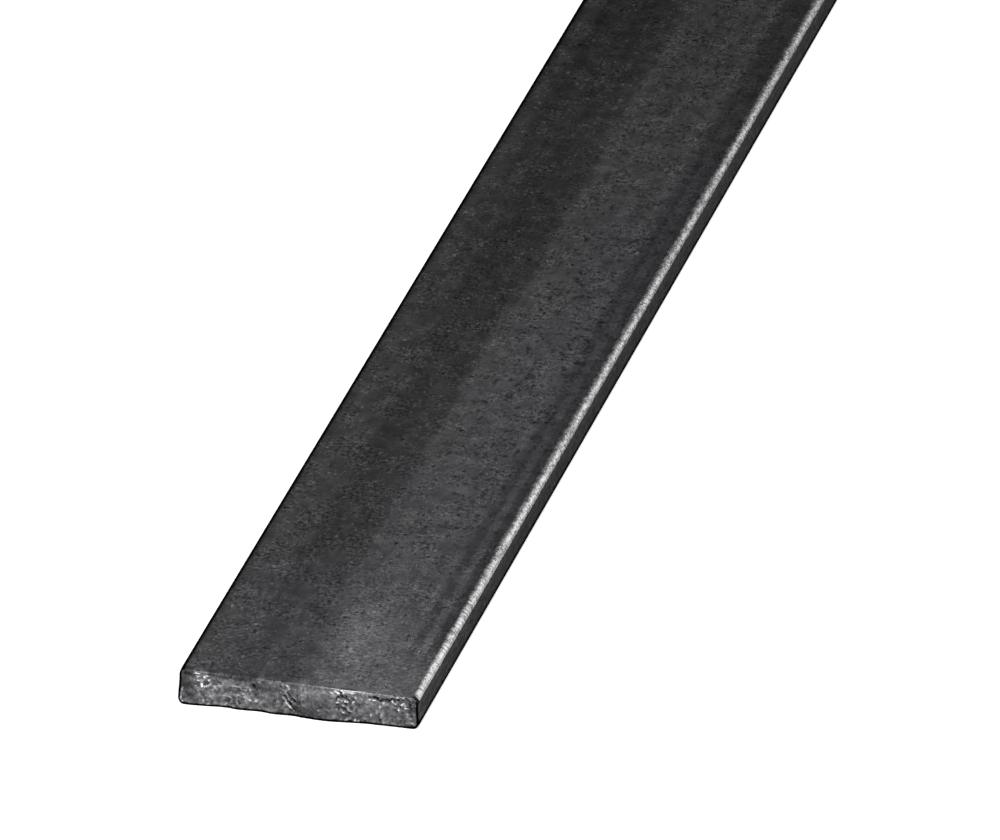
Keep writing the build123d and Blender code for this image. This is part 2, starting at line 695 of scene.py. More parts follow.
def rim_of(rows: int, columns: int) -> np.ndarray:
    """Indices of a grid's rim, once round: along the foot, up the +x side, back
    along the top and down the -x side.

    Args:
        rows: Number of grid points across.
        columns: Number of grid points up.

    Returns:
        Flat indices into a rows by columns grid.
    """
    index = np.arange(rows * columns).reshape(rows, columns)
    return np.concatenate([index[:-1, 0], index[-1, :-1], index[:0:-1, -1], index[0, :0:-1]])


def kept_lines(size: float, corner: float, cell: float, flat_step: float) -> list[int]:
    """Which grid lines of one side the long sides of the flat keep: each 0.2 mm of
    its corners and each flat_step between them.

    Args:
        size: Length of the side.
        corner: Length of a corner.
        cell: Cell of the grid.
        flat_step: Gap between the lines that are kept between the corners.

    Returns:
        Their numbers.
    """
    in_corner, in_flat = round(corner / cell), round((size - 2 * corner) / cell)
    corner_step = round(0.2 / cell)
    near = range(0, in_corner, corner_step)
    middle = range(in_corner, in_corner + in_flat, round(flat_step / cell))
    far = range(in_corner + in_flat, 2 * in_corner + in_flat, corner_step)
    return [*near, *middle, *far]


def coarse_of(section: RolledSection, cell: float) -> np.ndarray:
    """Which points of the rim the long sides keep, each 0.8 mm of the broad faces
    and each 0.6 mm of the narrow ones.

    Args:
        section: The rolled section.
        cell: Cell of the grid that the rim bounds.

    Returns:
        Indices into the rim.
    """
    broad, narrow = round(section.width / cell), round(section.thickness / cell)
    wide = np.array(kept_lines(section.width, section.edge_radius, cell, 0.8))
    tall = np.array(kept_lines(section.thickness, section.edge_radius, cell, 0.6))
    return np.concatenate([wide, broad + tall, broad + narrow + wide, 2 * broad + narrow + tall])


def section_order(points: np.ndarray) -> np.ndarray:
    """Order of a ring's points by height and then across, to the nearest micron."""
    return np.lexsort(np.round(points[:, [0, 2]], 3).T)


@dataclass
class Skin:
    """Points, faces and point values gathered piece by piece."""

    crest_angle: float = 48.0  # degrees between two faces above which their edge is sharp
    points: list[np.ndarray] = field(default_factory=list)
    quads: list[np.ndarray] = field(default_factory=list)
    triangles: list[np.ndarray] = field(default_factory=list)
    values: dict[str, list[np.ndarray]] = field(default_factory=dict)
    count: int = 0

    def add(self, points: np.ndarray, **values: np.ndarray | float) -> np.ndarray:
        """Adds points with their values.

        Args:
            points: N by 3 places in millimetres.
            **values: One number a point, or one for all, by name.

        Returns:
            Indices of the new points.
        """
        self.points.append(points)
        for name, value in values.items():
            self.values.setdefault(name, []).append(np.broadcast_to(value, (len(points),)))
        self.count += len(points)
        return np.arange(self.count - len(points), self.count)

    def band(self, ring: np.ndarray, after: np.ndarray) -> None:
        """Quads between two closed rings of the same number of points."""
        self.quads.append(np.stack([ring, after, np.roll(after, -1), np.roll(ring, -1)], -1))

    def thinning_band(self, fine: np.ndarray, coarse: np.ndarray, kept: np.ndarray) -> None:
        """Triangles from a fine ring to one with only some of its points: a fan at
        each coarse point over its fine stretch, and one triangle to close it.

        Args:
            fine: Indices of the fine ring.
            coarse: Indices of the coarse ring.
            kept: For each coarse point, its place in the fine ring.
        """
        owner = np.searchsorted(kept, np.arange(len(fine)), side="right") - 1
        self.triangles.append(np.stack([fine, coarse[owner], np.roll(fine, -1)], -1))
        closing = np.stack([fine[np.roll(kept, -1)], coarse, np.roll(coarse, -1)], -1)
        self.triangles.append(closing)

    def mesh(self, name: str) -> bpy.types.Mesh:
        """Blender mesh of what was gathered, in metres, smooth but for the crests.

        Args:
            name: Name of the mesh.

        Returns:
            The mesh.
        """
        points = np.concatenate(self.points) * MM
        quads = np.concatenate(self.quads)
        triangles = np.concatenate(self.triangles)
        corners = np.concatenate([quads.ravel(), triangles.ravel()])
        starts = np.concatenate(
            [4 * np.arange(len(quads)), 4 * len(quads) + 3 * np.arange(len(triangles))]
        )
        made = bpy.data.meshes.new(name)
        made.vertices.add(len(points))
        made.vertices.foreach_set("co", points.astype(np.float32).ravel())
        made.loops.add(len(corners))
        made.loops.foreach_set("vertex_index", corners.astype(np.int32))
        made.polygons.add(len(starts))
        made.polygons.foreach_set("loop_start", starts.astype(np.int32))
        made.update(calc_edges=True)
        made.validate(verbose=False)
        made.polygons.foreach_set("use_smooth", np.ones(len(starts), bool))
        made.set_sharp_from_angle(angle=math.radians(self.crest_angle))
        for key, parts in self.values.items():
            layer = made.attributes.new(key, "FLOAT", "POINT")
            layer.data.foreach_set("value", np.concatenate(parts).astype(np.float32))
        return made


# ------------------------------------------------------------------ node helper
@dataclass(frozen=True)
class Value:
    """A number, place or colour that a graph works out at each point of a surface.
    Numbers are added, taken away, multiplied and divided as plain ones are."""

    graph: "Graph"
    socket: Socket

    def __add__(self, other: "Term") -> "Value":
        """This number plus another."""
        return self.graph.maths("ADD", self, other)

    def __sub__(self, other: "Term") -> "Value":
        """This number less another."""
        return self.graph.maths("SUBTRACT", self, other)

    def __rsub__(self, other: float) -> "Value":
        """Another number less this one."""
        return self.graph.maths("SUBTRACT", other, self)

    def __mul__(self, other: "Term") -> "Value":
        """This number times another."""
        return self.graph.maths("MULTIPLY", self, other)

    def __truediv__(self, other: "Term") -> "Value":
        """This number divided by another."""
        return self.graph.maths("DIVIDE", self, other)

    def or_more(self, other: "Term") -> "Value":
        """The greater of this number and another."""
        return self.graph.maths("MAXIMUM", self, other)

    def step(self, low: "Term", high: "Term", out: tuple[float, float] = (0.0, 1.0)) -> "Value":
        """Smooth step of this number between two levels.

        Args:
            low: Level where the step starts.
            high: Level where it ends. It may be below low.
            out: Result before and after the step.

        Returns:
            The step.
        """
        wanted = {"Value": self, 1: low, 2: high, 3: out[0], 4: out[1]}
        return self.graph.node("ShaderNodeMapRange", wanted, interpolation_type="SMOOTHSTEP")

    def swing(self, reach: float) -> "Value":
        """This noise as a swing of reach to either side of 0."""
        return self.step(0.2, 0.8, (-reach, reach))

    def spread(self, middle: float, reach: float) -> "Value":
        """This noise as a strong swing of reach to either side of middle."""
        return self.step(0.3, 0.7, (middle - reach, middle + reach))

    def curve(self, stops: Stops) -> "Value":
        """Curve through given levels, eased between them and level outside them.

        Args:
            stops: Increasing values of this number, and the level at each.

        Returns:
            The level.
        """
        first, last = stops[0][0], stops[-1][0]
        share = self.graph.node("ShaderNodeMapRange", {"Value": self, 1: first, 2: last})
        made = self.graph.lay("ShaderNodeValToRGB", {0: share})
        made.color_ramp.interpolation = "EASE"
        marks = made.color_ramp.elements
        while len(marks) < len(stops):
            marks.new(0.5)
        for mark, (place, level) in zip(marks, stops):
            mark.position = (place - first) / (last - first)
            mark.color = (level, level, level, 1.0)
        return Value(self.graph, made.outputs[0])


Term = Value | float


class Graph:
    """A material's nodes, laid by short calls. Patterns are read in millimetres."""

    def __init__(self, name: str) -> None:
        """Starts an empty material.

        Args:
            name: What it is called.
        """
        self.material = bpy.data.materials.new(name)
        self.material.use_nodes = True
        self.tree = self.material.node_tree
        self.tree.nodes.clear()

    def lay(self, kind: str, inputs: dict[str | int, object], **settings: object) -> bpy.types.Node:
        """Lays one node.

        Args:
            kind: Blender's name of the node type.
            inputs: Value or constant for each named or numbered input.
            **settings: Properties of the node.

        Returns:
            The node.
        """
        made = self.tree.nodes.new(kind)
        for key, setting in settings.items():
            setattr(made, key, setting)
        for key, given in inputs.items():
            if isinstance(given, Value):
                self.tree.links.new(given.socket, made.inputs[key])
            else:
                made.inputs[key].default_value = given
        return made

    def node(
        self, kind: str, inputs: dict[str | int, object], output: int | str = 0, **settings: object
    ) -> Value:
        """Lays one node and takes one of its outputs.

        Args:
            kind: Blender's name of the node type.
            inputs: Value or constant for each named or numbered input.
            output: Name or number of the output.
            **settings: Properties of the node.

        Returns:
            That output's value.
        """
        return Value(self, self.lay(kind, inputs, **settings).outputs[output])

    def place(self) -> Value:
        """Object coordinates in millimetres."""
        raw = self.node("ShaderNodeTexCoord", {}, "Object")
        return self.scaled(raw, (1 / MM, 1 / MM, 1 / MM))

    def scaled(self, at: Value, scale: Triple, shift: Triple = (0.0, 0.0, 0.0)) -> Value:
        """Place stretched, then shifted.

        Args:
            at: The place.
            scale: Scale along each axis.
            shift: Shift along each axis, after the scale.

        Returns:
            The new place.
        """
        return self.node("ShaderNodeMapping", {"Vector": at, "Scale": scale, "Location": shift})

    def shaken(self, at: Value, scale: float, reach: float) -> Value:
        """Place moved about by a coloured noise.

        Args:
            at: The place.
            scale: The noise's features a millimetre.
            reach: How far it moves things, from one extreme to the other.

        Returns:
            The new place.
        """
        wanted = {"Vector": at, "Scale": scale, "Detail": 2.0}
        colour = self.node("ShaderNodeTexNoise", wanted, "Color")
        middle = (0.5, 0.5, 0.5)
        moved = self.node("ShaderNodeVectorMath", {0: colour, 1: middle}, operation="SUBTRACT")
        wanted = {0: moved, 1: (reach, reach, reach), 2: at}
        return self.node("ShaderNodeVectorMath", wanted, operation="MULTIPLY_ADD")

    def away(self, at: Value, centre: Triple, reach: Triple) -> Value:
        """Distance of a place from a centre, in reaches along each axis; an axis
        whose reach is 0 doesn't count.

        Args:
            at: The place.
            centre: The centre.
            reach: Length that counts as 1 along each axis.

        Returns:
            The distance.
        """
        scale = tuple(1.0 / length if length else 0.0 for length in reach)
        shift = tuple(-middle * factor for middle, factor in zip(centre, scale))
        near = self.scaled(at, scale, shift)
        return self.node("ShaderNodeVectorMath", {0: near}, "Value", operation="LENGTH")

    def axes(self, at: Value) -> list[Value]:
        """The three numbers of a place."""
        return [Value(self, part) for part in self.lay("ShaderNodeSeparateXYZ", {0: at}).outputs]

    def maths(self, kind: str, a: Term, b: Term) -> Value:
        """Result of one Math node of the given kind on two numbers."""
        return self.node("ShaderNodeMath", {0: a, 1: b}, operation=kind)

    def noise(self, at: Value, scale: float, detail: float, rough: float) -> Value:
        """Noise around 0.5 whose features are about 1/scale of a millimetre.

        Args:
            at: Place it is read at.
            scale: Features a millimetre.
            detail: Octaves above the first.
            rough: Strength of each octave beside the last.

        Returns:
            The noise.
        """
        wanted = {"Vector": at, "Scale": scale, "Detail": detail, "Roughness": rough}
        return self.node("ShaderNodeTexNoise", wanted)

    def mix(self, share: Term, a: Term, b: Term) -> Value:
        """Mix of two numbers: a where share is 0, b where it is 1."""
        return self.node("ShaderNodeMix", {0: share, 2: a, 3: b}, data_type="FLOAT")

    def tint(self, share: Term, a: Value | Colour, b: Value | Colour) -> Value:
        """Mix of two colours: a where share is 0, b where it is 1."""
        wanted = {0: share, 6: opaque(a), 7: opaque(b)}
        return self.node("ShaderNodeMix", wanted, 2, data_type="RGBA")

    def toned(self, colour: Value | Colour, tone: Value) -> Value:
        """Colour times a tone."""
        wanted = {0: 1.0, 6: opaque(colour), 7: tone}
        return self.node("ShaderNodeMix", wanted, 2, data_type="RGBA", blend_type="MULTIPLY")

    def value_of(self, name: str) -> Value:
        """A point value that the mesh carries."""
        wanted = {"attribute_name": name, "attribute_type": "GEOMETRY"}
        return self.node("ShaderNodeAttribute", {}, "Fac", **wanted)


def opaque(colour: Value | Colour) -> Value | tuple[float, float, float, float]:
    """A plain colour with its fourth number, 1, added; a worked-out one as it is."""
    return colour if isinstance(colour, Value) else (*colour, 1.0)


# ------------------------------------------------------------------------ finish
@dataclass(frozen=True)
class Where:
    """Where a pattern is read: the place itself, how far it is from the middle
    across the flat, and how far along the flat from the near end."""

    at: Value
    across: Value
    along: Value


@dataclass(frozen=True)
class MillScaleSteel:
    """Blue-grey mill scale on the rolled faces, bare steel where the shear broke
    through it, and the scale rubbed thin along one rolled edge, which is also
    painted brighter as a painted highlight.

    Places across and along are those of Where, in millimetres.
    """

    name: str = SLOT
    half_length: float = 500.0
    grazing_tint: float = 0.4
    roughness: float = 0.42
    roughness_spread: float = 0.07
    rubbed_roughness: float = 0.40
    torn_roughness: float = 0.34
    warm: Colour = (1.0, 1.003, 0.995)
    cold: Colour = (1.0, 0.989, 1.056)
    # colour of the rubbed edge, bright as bare metal and as a painted highlight
    rub_and_highlight: Colour = (0.31, 0.31, 0.313)
    steel: Colour = (0.117, 0.116, 0.121)
    clear_tone: float = 0.96  # tone of the clean strip beside the rubbed edge
    corner_tone: float = 0.164  # tone of the corner of the near end
    pit_depth: float = 0.07
    fleck_height: float = 0.015
    ripple_height: float = 0.065
    mottle_height: float = 0.034
    grain_height: float = 0.04

    # Tone at places across: far up the flat, and at the near end. The near tone is
    # brighter all over, a painted pool of light that fades along the flat.
    far_bands: Stops = (
        (-20.0, 0.030), (-19.0, 0.040), (-17.5, 0.055), (-16.0, 0.050), (-14.5, 0.035),
        (-12.0, 0.045), (-7.0, 0.040), (-4.0, 0.045), (-1.6, 0.055), (-1.0, 0.070),
        (2.0, 0.065), (4.5, 0.060), (7.5, 0.070), (10.5, 0.060), (12.8, 0.075),
        (13.6, 0.065), (14.4, 0.050), (15.2, 0.045), (18.0, 0.045), (19.5, 0.035),
        (20.0, 0.035),
    )
    near_bands: Stops = (
        (-20.0, 0.065), (-18.5, 0.095), (-17.0, 0.115), (-13.5, 0.120), (-10.0, 0.090),
        (-6.0, 0.110), (-1.6, 0.090), (-0.8, 0.110), (0.8, 0.135), (3.0, 0.150),
        (8.0, 0.150), (11.5, 0.140), (13.6, 0.135), (14.5, 0.100), (15.4, 0.090),
        (16.1, 0.140), (16.9, 0.140), (17.4, 0.085), (18.2, 0.075), (19.5, 0.050),
        (20.0, 0.050),
    )

    # How much of the near tone, with its painted light, there is along the flat.
    nearness: Stops = (
        (0.0, 0.90), (13.0, 0.91), (30.0, 0.76), (55.0, 0.57), (100.0, 0.46), (170.0, 0.22),
        (250.0, 0.0),
    )
    # Along the flat: factor on the tone of the dark hollow, and strength of the smears.
    hollow_lull: Stops = ((25.0, 1.0), (55.0, 0.88), (182.0, 0.88), (205.0, 1.0))
    smear_amount: Stops = ((20.0, 0.0), (55.0, 0.46), (125.0, 0.56), (190.0, 0.46))
    # How much of the width is free of blue along the flat.
    plain_share: Stops = ((0.0, 0.0), (34.0, 0.1), (52.0, 0.46), (150.0, 0.58), (210.0, 1.0))
    # How deep into the edge the rub starts along the flat.
    rub_start: Stops = ((0.0, 0.52), (20.0, 0.43), (60.0, 0.32), (160.0, 0.34), (230.0, 0.32))

    def build(self) -> bpy.types.Material:
        """Lays the nodes.

        Returns:
            The material.
        """
        g = Graph(self.name)
        at = g.place()
        x, y, _ = g.axes(at)
        where = Where(at, x, y + self.half_length)
        strip = x.step(14.0, 16.0) * where.along.step(35.0, 70.0, (0.0, 0.40))
        busy = self.busyness(g, where) * (1.0 - strip)
        # shade: painted shade and painted highlights from the mesh, with the cut's tone patches
        shade = g.value_of("shade")
        torn = g.value_of("bare")
        mottle = g.noise(g.scaled(at, (1.0, 0.9, 1.0)), 1.5, 4.0, 0.68)
        blotch = g.noise(g.scaled(at, (1.0, 0.9, 1.0)), 0.33, 3.0, 0.55)
        spots, height = self.pitting(g, where)
        spots = spots * (x.step(-5.0, 2.0, (1.01, 1.06)) - self.smears(g, where))
        moved, ragged = self.wander(g, where)
        tone = self.bands(g, where, moved)
        tone = self.near_places(g, where, ragged, tone)
        tone = tone * blotch.spread(1.0, 0.16) * g.mix(busy, 1.0, mottle.spread(1.0, 0.62))
        tone = tone * g.mix(strip, spots, self.clear_tone) * shade
        scale = g.toned(g.tint(self.blueness(g, where, moved), self.warm, self.cold), tone)
        rubbed, rub_and_highlight = self.rubbed_edge_highlight(g, where, scale)
        steel = g.toned(self.bare_steel(g, at), shade)
        rough = g.noise(at, 0.9, 3.0, 0.6).spread(self.roughness, self.roughness_spread)
        rough = g.mix(rub_and_highlight, rough, self.rubbed_roughness)
        rough = g.mix(torn, rough, self.torn_roughness)
        rough = g.mix(shade.step(0.35, 0.1), rough, 1.0)
        ripple = g.noise(at, 0.75, 3.0, 0.55) * self.ripple_height + mottle * self.mottle_height
        grains = g.noise(at, 3.0, 3.0, 0.6) * self.grain_height
        relief = g.mix(torn, ripple * busy + height, grains)
        bump = g.node("ShaderNodeBump", {"Strength": 1.0, "Distance": MM, "Height": relief})
        wanted = {
            "Base Color": g.tint(torn, rubbed, steel),
            "Metallic": 1.0,
            "Roughness": rough,
            "Specular Tint": opaque((self.grazing_tint,) * 3),
            "Normal": bump,
        }
        shader = g.node("ShaderNodeBsdfPrincipled", wanted)
        g.lay("ShaderNodeOutputMaterial", {"Surface": shader})
        return g.material

    def wander(self, g: Graph, where: Where) -> tuple[Value, Value]:
        """Places across, moved by a slow drift and a ragged noise so that the bands
        wander; they run straight by both edges.

        Args:
            g: The graph.
            where: Where it is read.

        Returns:
            The moved places, and the ragged noise.
        """
        drift = g.noise(g.scaled(where.at, (0.03, 0.012, 0.0), (3.1, 1.7, 0.0)), 1.0, 2.0, 0.5)
        ragged = g.noise(g.scaled(where.at, (0.45, 0.20, 0.45)), 1.0, 4.0, 0.65)
        free = where.across.step(-19.0, -11.0) * where.across.step(13.5, 9.0, (0.10, 1.0))
        return where.across + (drift.swing(1.0) + ragged.swing(1.2)) * free, ragged

    def bands(self, g: Graph, where: Where, moved: Value) -> Value:
        """Tone of the scale in bands along the flat, which lift towards the near end
        as a painted pool of light and carry fine rolling streaks. The dark hollow
        left of the middle is darker still over a stretch of the length.

        Args:
            g: The graph.
            where: Where it is read.
            moved: Places across, wandering.

        Returns:
            The tone.
        """
        nearness = where.along.curve(self.nearness)
        tone = g.mix(nearness, moved.curve(self.far_bands), moved.curve(self.near_bands))
        hollow = moved.step(-13.0, -10.0) * moved.step(-1.0, -4.0)
        tone = tone * g.mix(hollow, 1.0, where.along.curve(self.hollow_lull))
        streak = g.noise(g.scaled(where.at, (1.0, 0.012, 1.0)), 1.1, 3.0, 0.6)
        return tone * streak.spread(1.0, 0.06)

    def near_places(self, g: Graph, where: Where, ragged: Value, tone: Value) -> Value:
        """Tone with three places by the near end: all of the right half a little
        paler, an oval pale spot in it that is a painted sheen, and the right-hand
        corner.

        Args:
            g: The graph.
            where: Where it is read.
            ragged: Noise that frays the places' edges.
            tone: Tone without them.

        Returns:
            The tone with them.
        """
        half = (where.across + ragged.swing(3.0)).step(1.0, 6.0)
        half = half * (where.along + ragged.swing(8.0)).step(24.0, 8.0)
        # painted sheen: an oval pale spot near the end
        painted_sheen = g.away(where.at, (5.6, 20.0 - self.half_length, 0.0), (4.6, 11.0, 0.0))
        painted_sheen = (painted_sheen + ragged.swing(0.25)).step(1.15, 0.15, (1.0, 1.36))
        corner = where.across.step(12.5, 14.5, (0.0, 0.8)) * where.along.step(20.0, 4.0)
        corner = corner * where.across.step(19.4, 18.6)
        return g.mix(corner, tone * (half * 0.22 + 1.0) * painted_sheen, self.corner_tone)

    def blueness(self, g: Graph, where: Where, moved: Value) -> Value:
        """How blue the scale is: from a line that crosses the flat as it runs along,
        frayed by slow patches.

        Args:
            g: The graph.
            where: Where it is read.
            moved: Places across, wandering.

        Returns:
            The blueness, from 0 to 1.
        """
        line = where.along.curve(self.plain_share) * 42.0 - 22.0
        patchy = g.noise(g.scaled(where.at, (1.0, 0.6, 1.0), (11.0, 5.0, 0.0)), 0.14, 2.0, 0.5)
        return (moved - line + patchy.step(0.3, 0.7, (-6.0, 4.5))).step(-0.5, 1.5)

    def smears(self, g: Graph, where: Where) -> Value:
        """How dark the smears on the right half are: lobes of a noise.

        Args:
            g: The graph.
            where: Where it is read.

        Returns:
            The darkness, from 0 to 1.
        """
        lobes = g.noise(g.scaled(where.at, (1.0, 0.80, 1.0), (19.0, 3.0, 0.0)), 0.80, 3.0, 0.62)
        amount = where.across.step(-1.0, 3.0) * where.along.curve(self.smear_amount)
        return lobes.step(0.53, 0.66) * amount

    def busyness(self, g: Graph, where: Where) -> Value:
        """How strong the mottle and ripple are: strong in crowds and by the near end,
        weak where the shear drew the scale down.

        Args:
            g: The graph.
            where: Where it is read.

        Returns:
            The strength, from 0 to 1.
        """
        crowd = g.noise(g.scaled(where.at, (1.0, 0.7, 1.0), (7.0, 3.0, 0.0)), 0.20, 3.0, 0.6)
        by_end = where.along.step(45.0, 10.0, (0.0, 0.74)) * where.across.step(-3.0, 4.0)
        left = where.along.step(120.0, 180.0, (1.0, 0.52))
        right = where.along.step(20.0, 60.0, (0.90, 0.84))
        busy = crowd.step(0.43, 0.56, (0.16, 1.0)).or_more(by_end)
        busy = busy * g.value_of("drawn").step(0.0, 1.0, (1.0, 0.25))
        return busy * g.mix(where.across.step(-5.0, 1.0), left, right)

    def pitting(self, g: Graph, where: Where) -> tuple[Value, Value]:
        """Pits where scale was rolled in and shed, more of them on the +x side, and
        flecks where it stands up, more of them on the -x side: round cells bent out
        of true, of random size, in crowds. A pit is painted dark, painted shade in
        it, and carries a paler rim, a painted highlight.

        Args:
            g: The graph.
            where: Where it is read.

        Returns:
            Factor on the tone, and height in millimetres.
        """
        crowd = g.noise(where.at, 0.17, 3.0, 0.6)
        bent = g.shaken(g.scaled(where.at, (1.0, 0.95, 1.0)), 1.9, 1.9)
        same = (1.0, 1.0, 1.0)
        beside = g.scaled(bent, same, (31.0, 17.0, 5.0))
        apart = g.scaled(bent, same, (53.0, 71.0, 9.0))
        share = crowd.step(0.42, 0.60, (0.08, 0.75))
        pits, rims = self.cells(g, bent, 0.95, share, (0.22, 0.55))
        share = crowd.step(0.42, 0.60, (0.08, 0.55))
        small, small_rims = self.cells(g, beside, 1.7, share, (0.22, 0.55))
        share = crowd.step(0.42, 0.60, (0.10, 0.60))
        flecks, _ = self.cells(g, apart, 1.1, share, (0.22, 0.52))
        side = where.across.step(-6.0, 4.0)
        deep = side * where.along.step(20.0, 60.0, (0.14, 0.15)) + 0.46
        # painted shade in the pits
        dark = pits.or_more(small * 0.9) * deep
        left = where.along.step(120.0, 180.0, (1.30, 1.50))
        right = where.along.step(20.0, 60.0, (0.85, 0.62))
        flecks = flecks * g.mix(side, left, right)
        # painted highlight on the pits' rims, with the pale flecks
        pale = (rims * 0.35).or_more(small_rims * 0.25).or_more(flecks)
        height = dark * -self.pit_depth + (rims + flecks) * self.fleck_height
        return (pale + 1.0) * (1.0 - dark), height

    def cells(
        self, g: Graph, at: Value, scale: float, share: Value, size: tuple[float, float]
    ) -> tuple[Value, Value]:
        """Some of a lattice's cells as round spots: cell by cell, the spot's radius
        and whether there is one at all are random.

        Args:
            g: The graph.
            at: Place in millimetres.
            scale: Cells a millimetre.
            share: Share of the cells that have a spot.
            size: Smallest and largest radius, in cells.

        Returns:
            The spots' mask, and the mask of a rim round each.
        """
        made = g.lay("ShaderNodeTexVoronoi", {"Vector": at, "Scale": scale})
        draw, sizes, _ = g.axes(Value(g, made.outputs["Color"]))
        chosen = (share - draw).step(0.0, 0.06)
        away = Value(g, made.outputs["Distance"]) / sizes.step(0.0, 1.0, size)
        rim = away.step(0.8, 1.1) * away.step(1.8, 1.3)
        return chosen * away.step(1.0, 0.35), chosen * rim

    def rubbed_edge_highlight(self, g: Graph, where: Where, scale: Value) -> tuple[Value, Value]:
        """Scale rubbed off and mottled along the edge that slid on the bed, painted
        bright as a painted highlight, strongest round the arc and by the near end:
        in ribs across the edge by the near end, and in specks further along.

        Args:
            g: The graph.
            where: Where it is read.
            scale: Colour of the scale.

        Returns:
            The colour with the rub and its painted highlight, and the rub's mask.
        """
        edge = g.value_of("edge")
        apart = where.along.step(0.0, 100.0)
        ribs = g.noise(g.scaled(where.at, (0.30, 1.7, 0.30)), 1.0, 2.0, 0.6)
        specks = g.noise(g.scaled(where.at, (1.0, 1.1, 1.0)), 1.9, 2.0, 0.6)
        mottle = g.noise(g.scaled(where.at, (1.0, 0.6, 1.0)), 1.2, 3.0, 0.6)
        uneven = (mottle - 0.5) * g.mix(apart, 0.22, 0.6)
        inside = edge + uneven - where.along.curve(self.rub_start)
        scored = g.mix(apart, ribs, specks).step(0.41, 0.50)
        rub_and_highlight = inside.step(0.0, where.along.step(0.0, 60.0, (0.22, 0.38)))
        rub_and_highlight = rub_and_highlight * g.mix(scored, g.mix(apart, 0.30, 0.32), 1.0)
        rub_and_highlight = rub_and_highlight * mottle.step(0.3, 0.60, (0.62, 1.0))
        # painted highlight: brighter round the arc and towards the near end
        by_end = edge.step(0.92, 0.62, (0.93, 1.70))
        further = edge.step(0.84, 0.60, (0.93, 1.26))
        highlight_gain = where.along.step(-20.0, 250.0, (0.98, 0.60)) * g.mix(apart, by_end, further)
        return g.tint(rub_and_highlight, scale, g.toned(self.rub_and_highlight, highlight_gain)), rub_and_highlight

    def bare_steel(self, g: Graph, at: Value) -> Value:
        """Bare steel of the cut: grey and clouded, with bright grains.

        Args:
            g: The graph.
            at: Place in millimetres.

        Returns:
            Its colour.
        """
        cloud = g.noise(at, 0.9, 3.0, 0.6).spread(1.0, 0.25)
        grains = g.noise(at, 2.2, 2.0, 0.6).spread(1.0, 0.28)
        return g.toned(self.steel, cloud * grains)


# ------------------------------------------------------------------- the product
# Marks of the blade across each end: share of the width, drawn depth, stand-out of
# the foot.
NEAR_MARKS = (
    (-0.037, 0.30, 1.22),
    (0.060, 0.40, 1.28),
    (0.120, 0.75, 1.00),
    (0.190, 0.98, 0.66),
    (0.262, 0.95, 0.84),
    (0.330, 0.68, 0.58),
    (0.407, 0.45, 0.80),
    (0.475, 0.42, 0.58),
    (0.540, 0.36, 0.80),
    (0.607, 0.36, 0.90),
    (0.675, 0.42, 0.62),
    (0.740, 0.36, 0.22),
    (0.820, 0.32, -0.05),
    (0.900, 0.30, -0.16),
    (1.037, 0.35, -0.20),
)
FAR_MARKS = (
    (-0.037, 0.45, 0.10),
    (0.134, 0.30, 0.30),
    (0.360, 0.28, -0.15),
    (0.554, 0.38, -0.35),
    (0.737, 0.30, 0.05),
    (0.909, 0.40, 0.25),
    (1.037, 0.65, -0.20),
)
# Scars of the near end in millimetres: start and stop (across, up), breadth, height,
# glint and, where it isn't 1, crook. A glint above 0 is a painted highlight and one
# below 0 painted shade.

# Folds, ring and bright burrs by the -x edge.
FOLDS_AND_RING = (
    ((-17.25, 5.36), (-16.35, 5.34), 0.19, 0.05, 1.55),
    ((-17.30, 5.03), (-16.50, 5.03), 0.13, -0.05, -0.96),
    ((-17.15, 4.74), (-16.50, 4.76), 0.17, 0.05, 1.15),
    ((-17.25, 4.15), (-17.20, 4.00), 0.20, 0.04, 0.75),
    ((-16.87, 4.23), (-16.63, 3.85), 0.16, 0.05, 0.94),
    ((-16.25, 4.25), (-16.15, 3.95), 0.20, -0.05, -0.66),
    ((-16.36, 3.46), (-15.92, 3.28), 0.27, 0.09, 1.98),
    ((-15.75, 3.12), (-14.90, 3.36), 0.20, 0.05, 1.00),
    ((-14.95, 3.38), (-14.55, 3.95), 0.15, 0.05, 0.75),
    ((-15.75, 4.83), (-15.51, 5.07), 0.20, 0.07, 1.44),
    ((-15.46, 4.96), (-14.99, 5.22), 0.20, 0.07, 1.64),
    ((-15.16, 4.23), (-14.75, 4.49), 0.18, 0.07, 1.20),
    ((-15.25, 4.62), (-15.15, 4.62), 0.14, -0.05, -0.48),
    ((-15.62, 4.45), (-15.55, 4.52), 0.16, 0.05, 0.75),
    ((-17.10, 3.45), (-16.95, 3.35), 0.22, -0.05, -0.54),
    ((-17.45, 2.75), (-16.85, 2.20), 0.13, -0.05, -0.54),
    ((-18.75, 2.02), (-17.75, 1.78), 0.14, -0.05, -0.50),
    ((-16.00, 2.75), (-15.85, 2.45), 0.16, 0.04, 0.50),
    ((-15.91, 0.93), (-15.47, 1.00), 0.25, 0.05, 1.15),
    ((-16.55, 1.00), (-16.45, 1.00), 0.20, 0.04, 0.44),
    ((-15.55, 0.42), (-14.30, 0.32), 0.14, 0.04, 0.56),
    ((-19.40, 2.85), (-19.38, 2.10), 0.14, 0.04, 1.70),
    ((-19.42, 2.10), (-19.48, 1.35), 0.11, 0.03, 1.30),
    ((-19.50, 1.35), (-19.44, 0.78), 0.15, 0.05, 2.50),
    ((-19.40, 0.76), (-19.05, 0.40), 0.14, 0.05, 2.30),
    ((-19.22, 0.95), (-19.10, 0.50), 0.10, -0.04, -1.08),
    ((-19.05, 0.42), (-18.50, 0.22), 0.10, -0.04, -0.72),
)
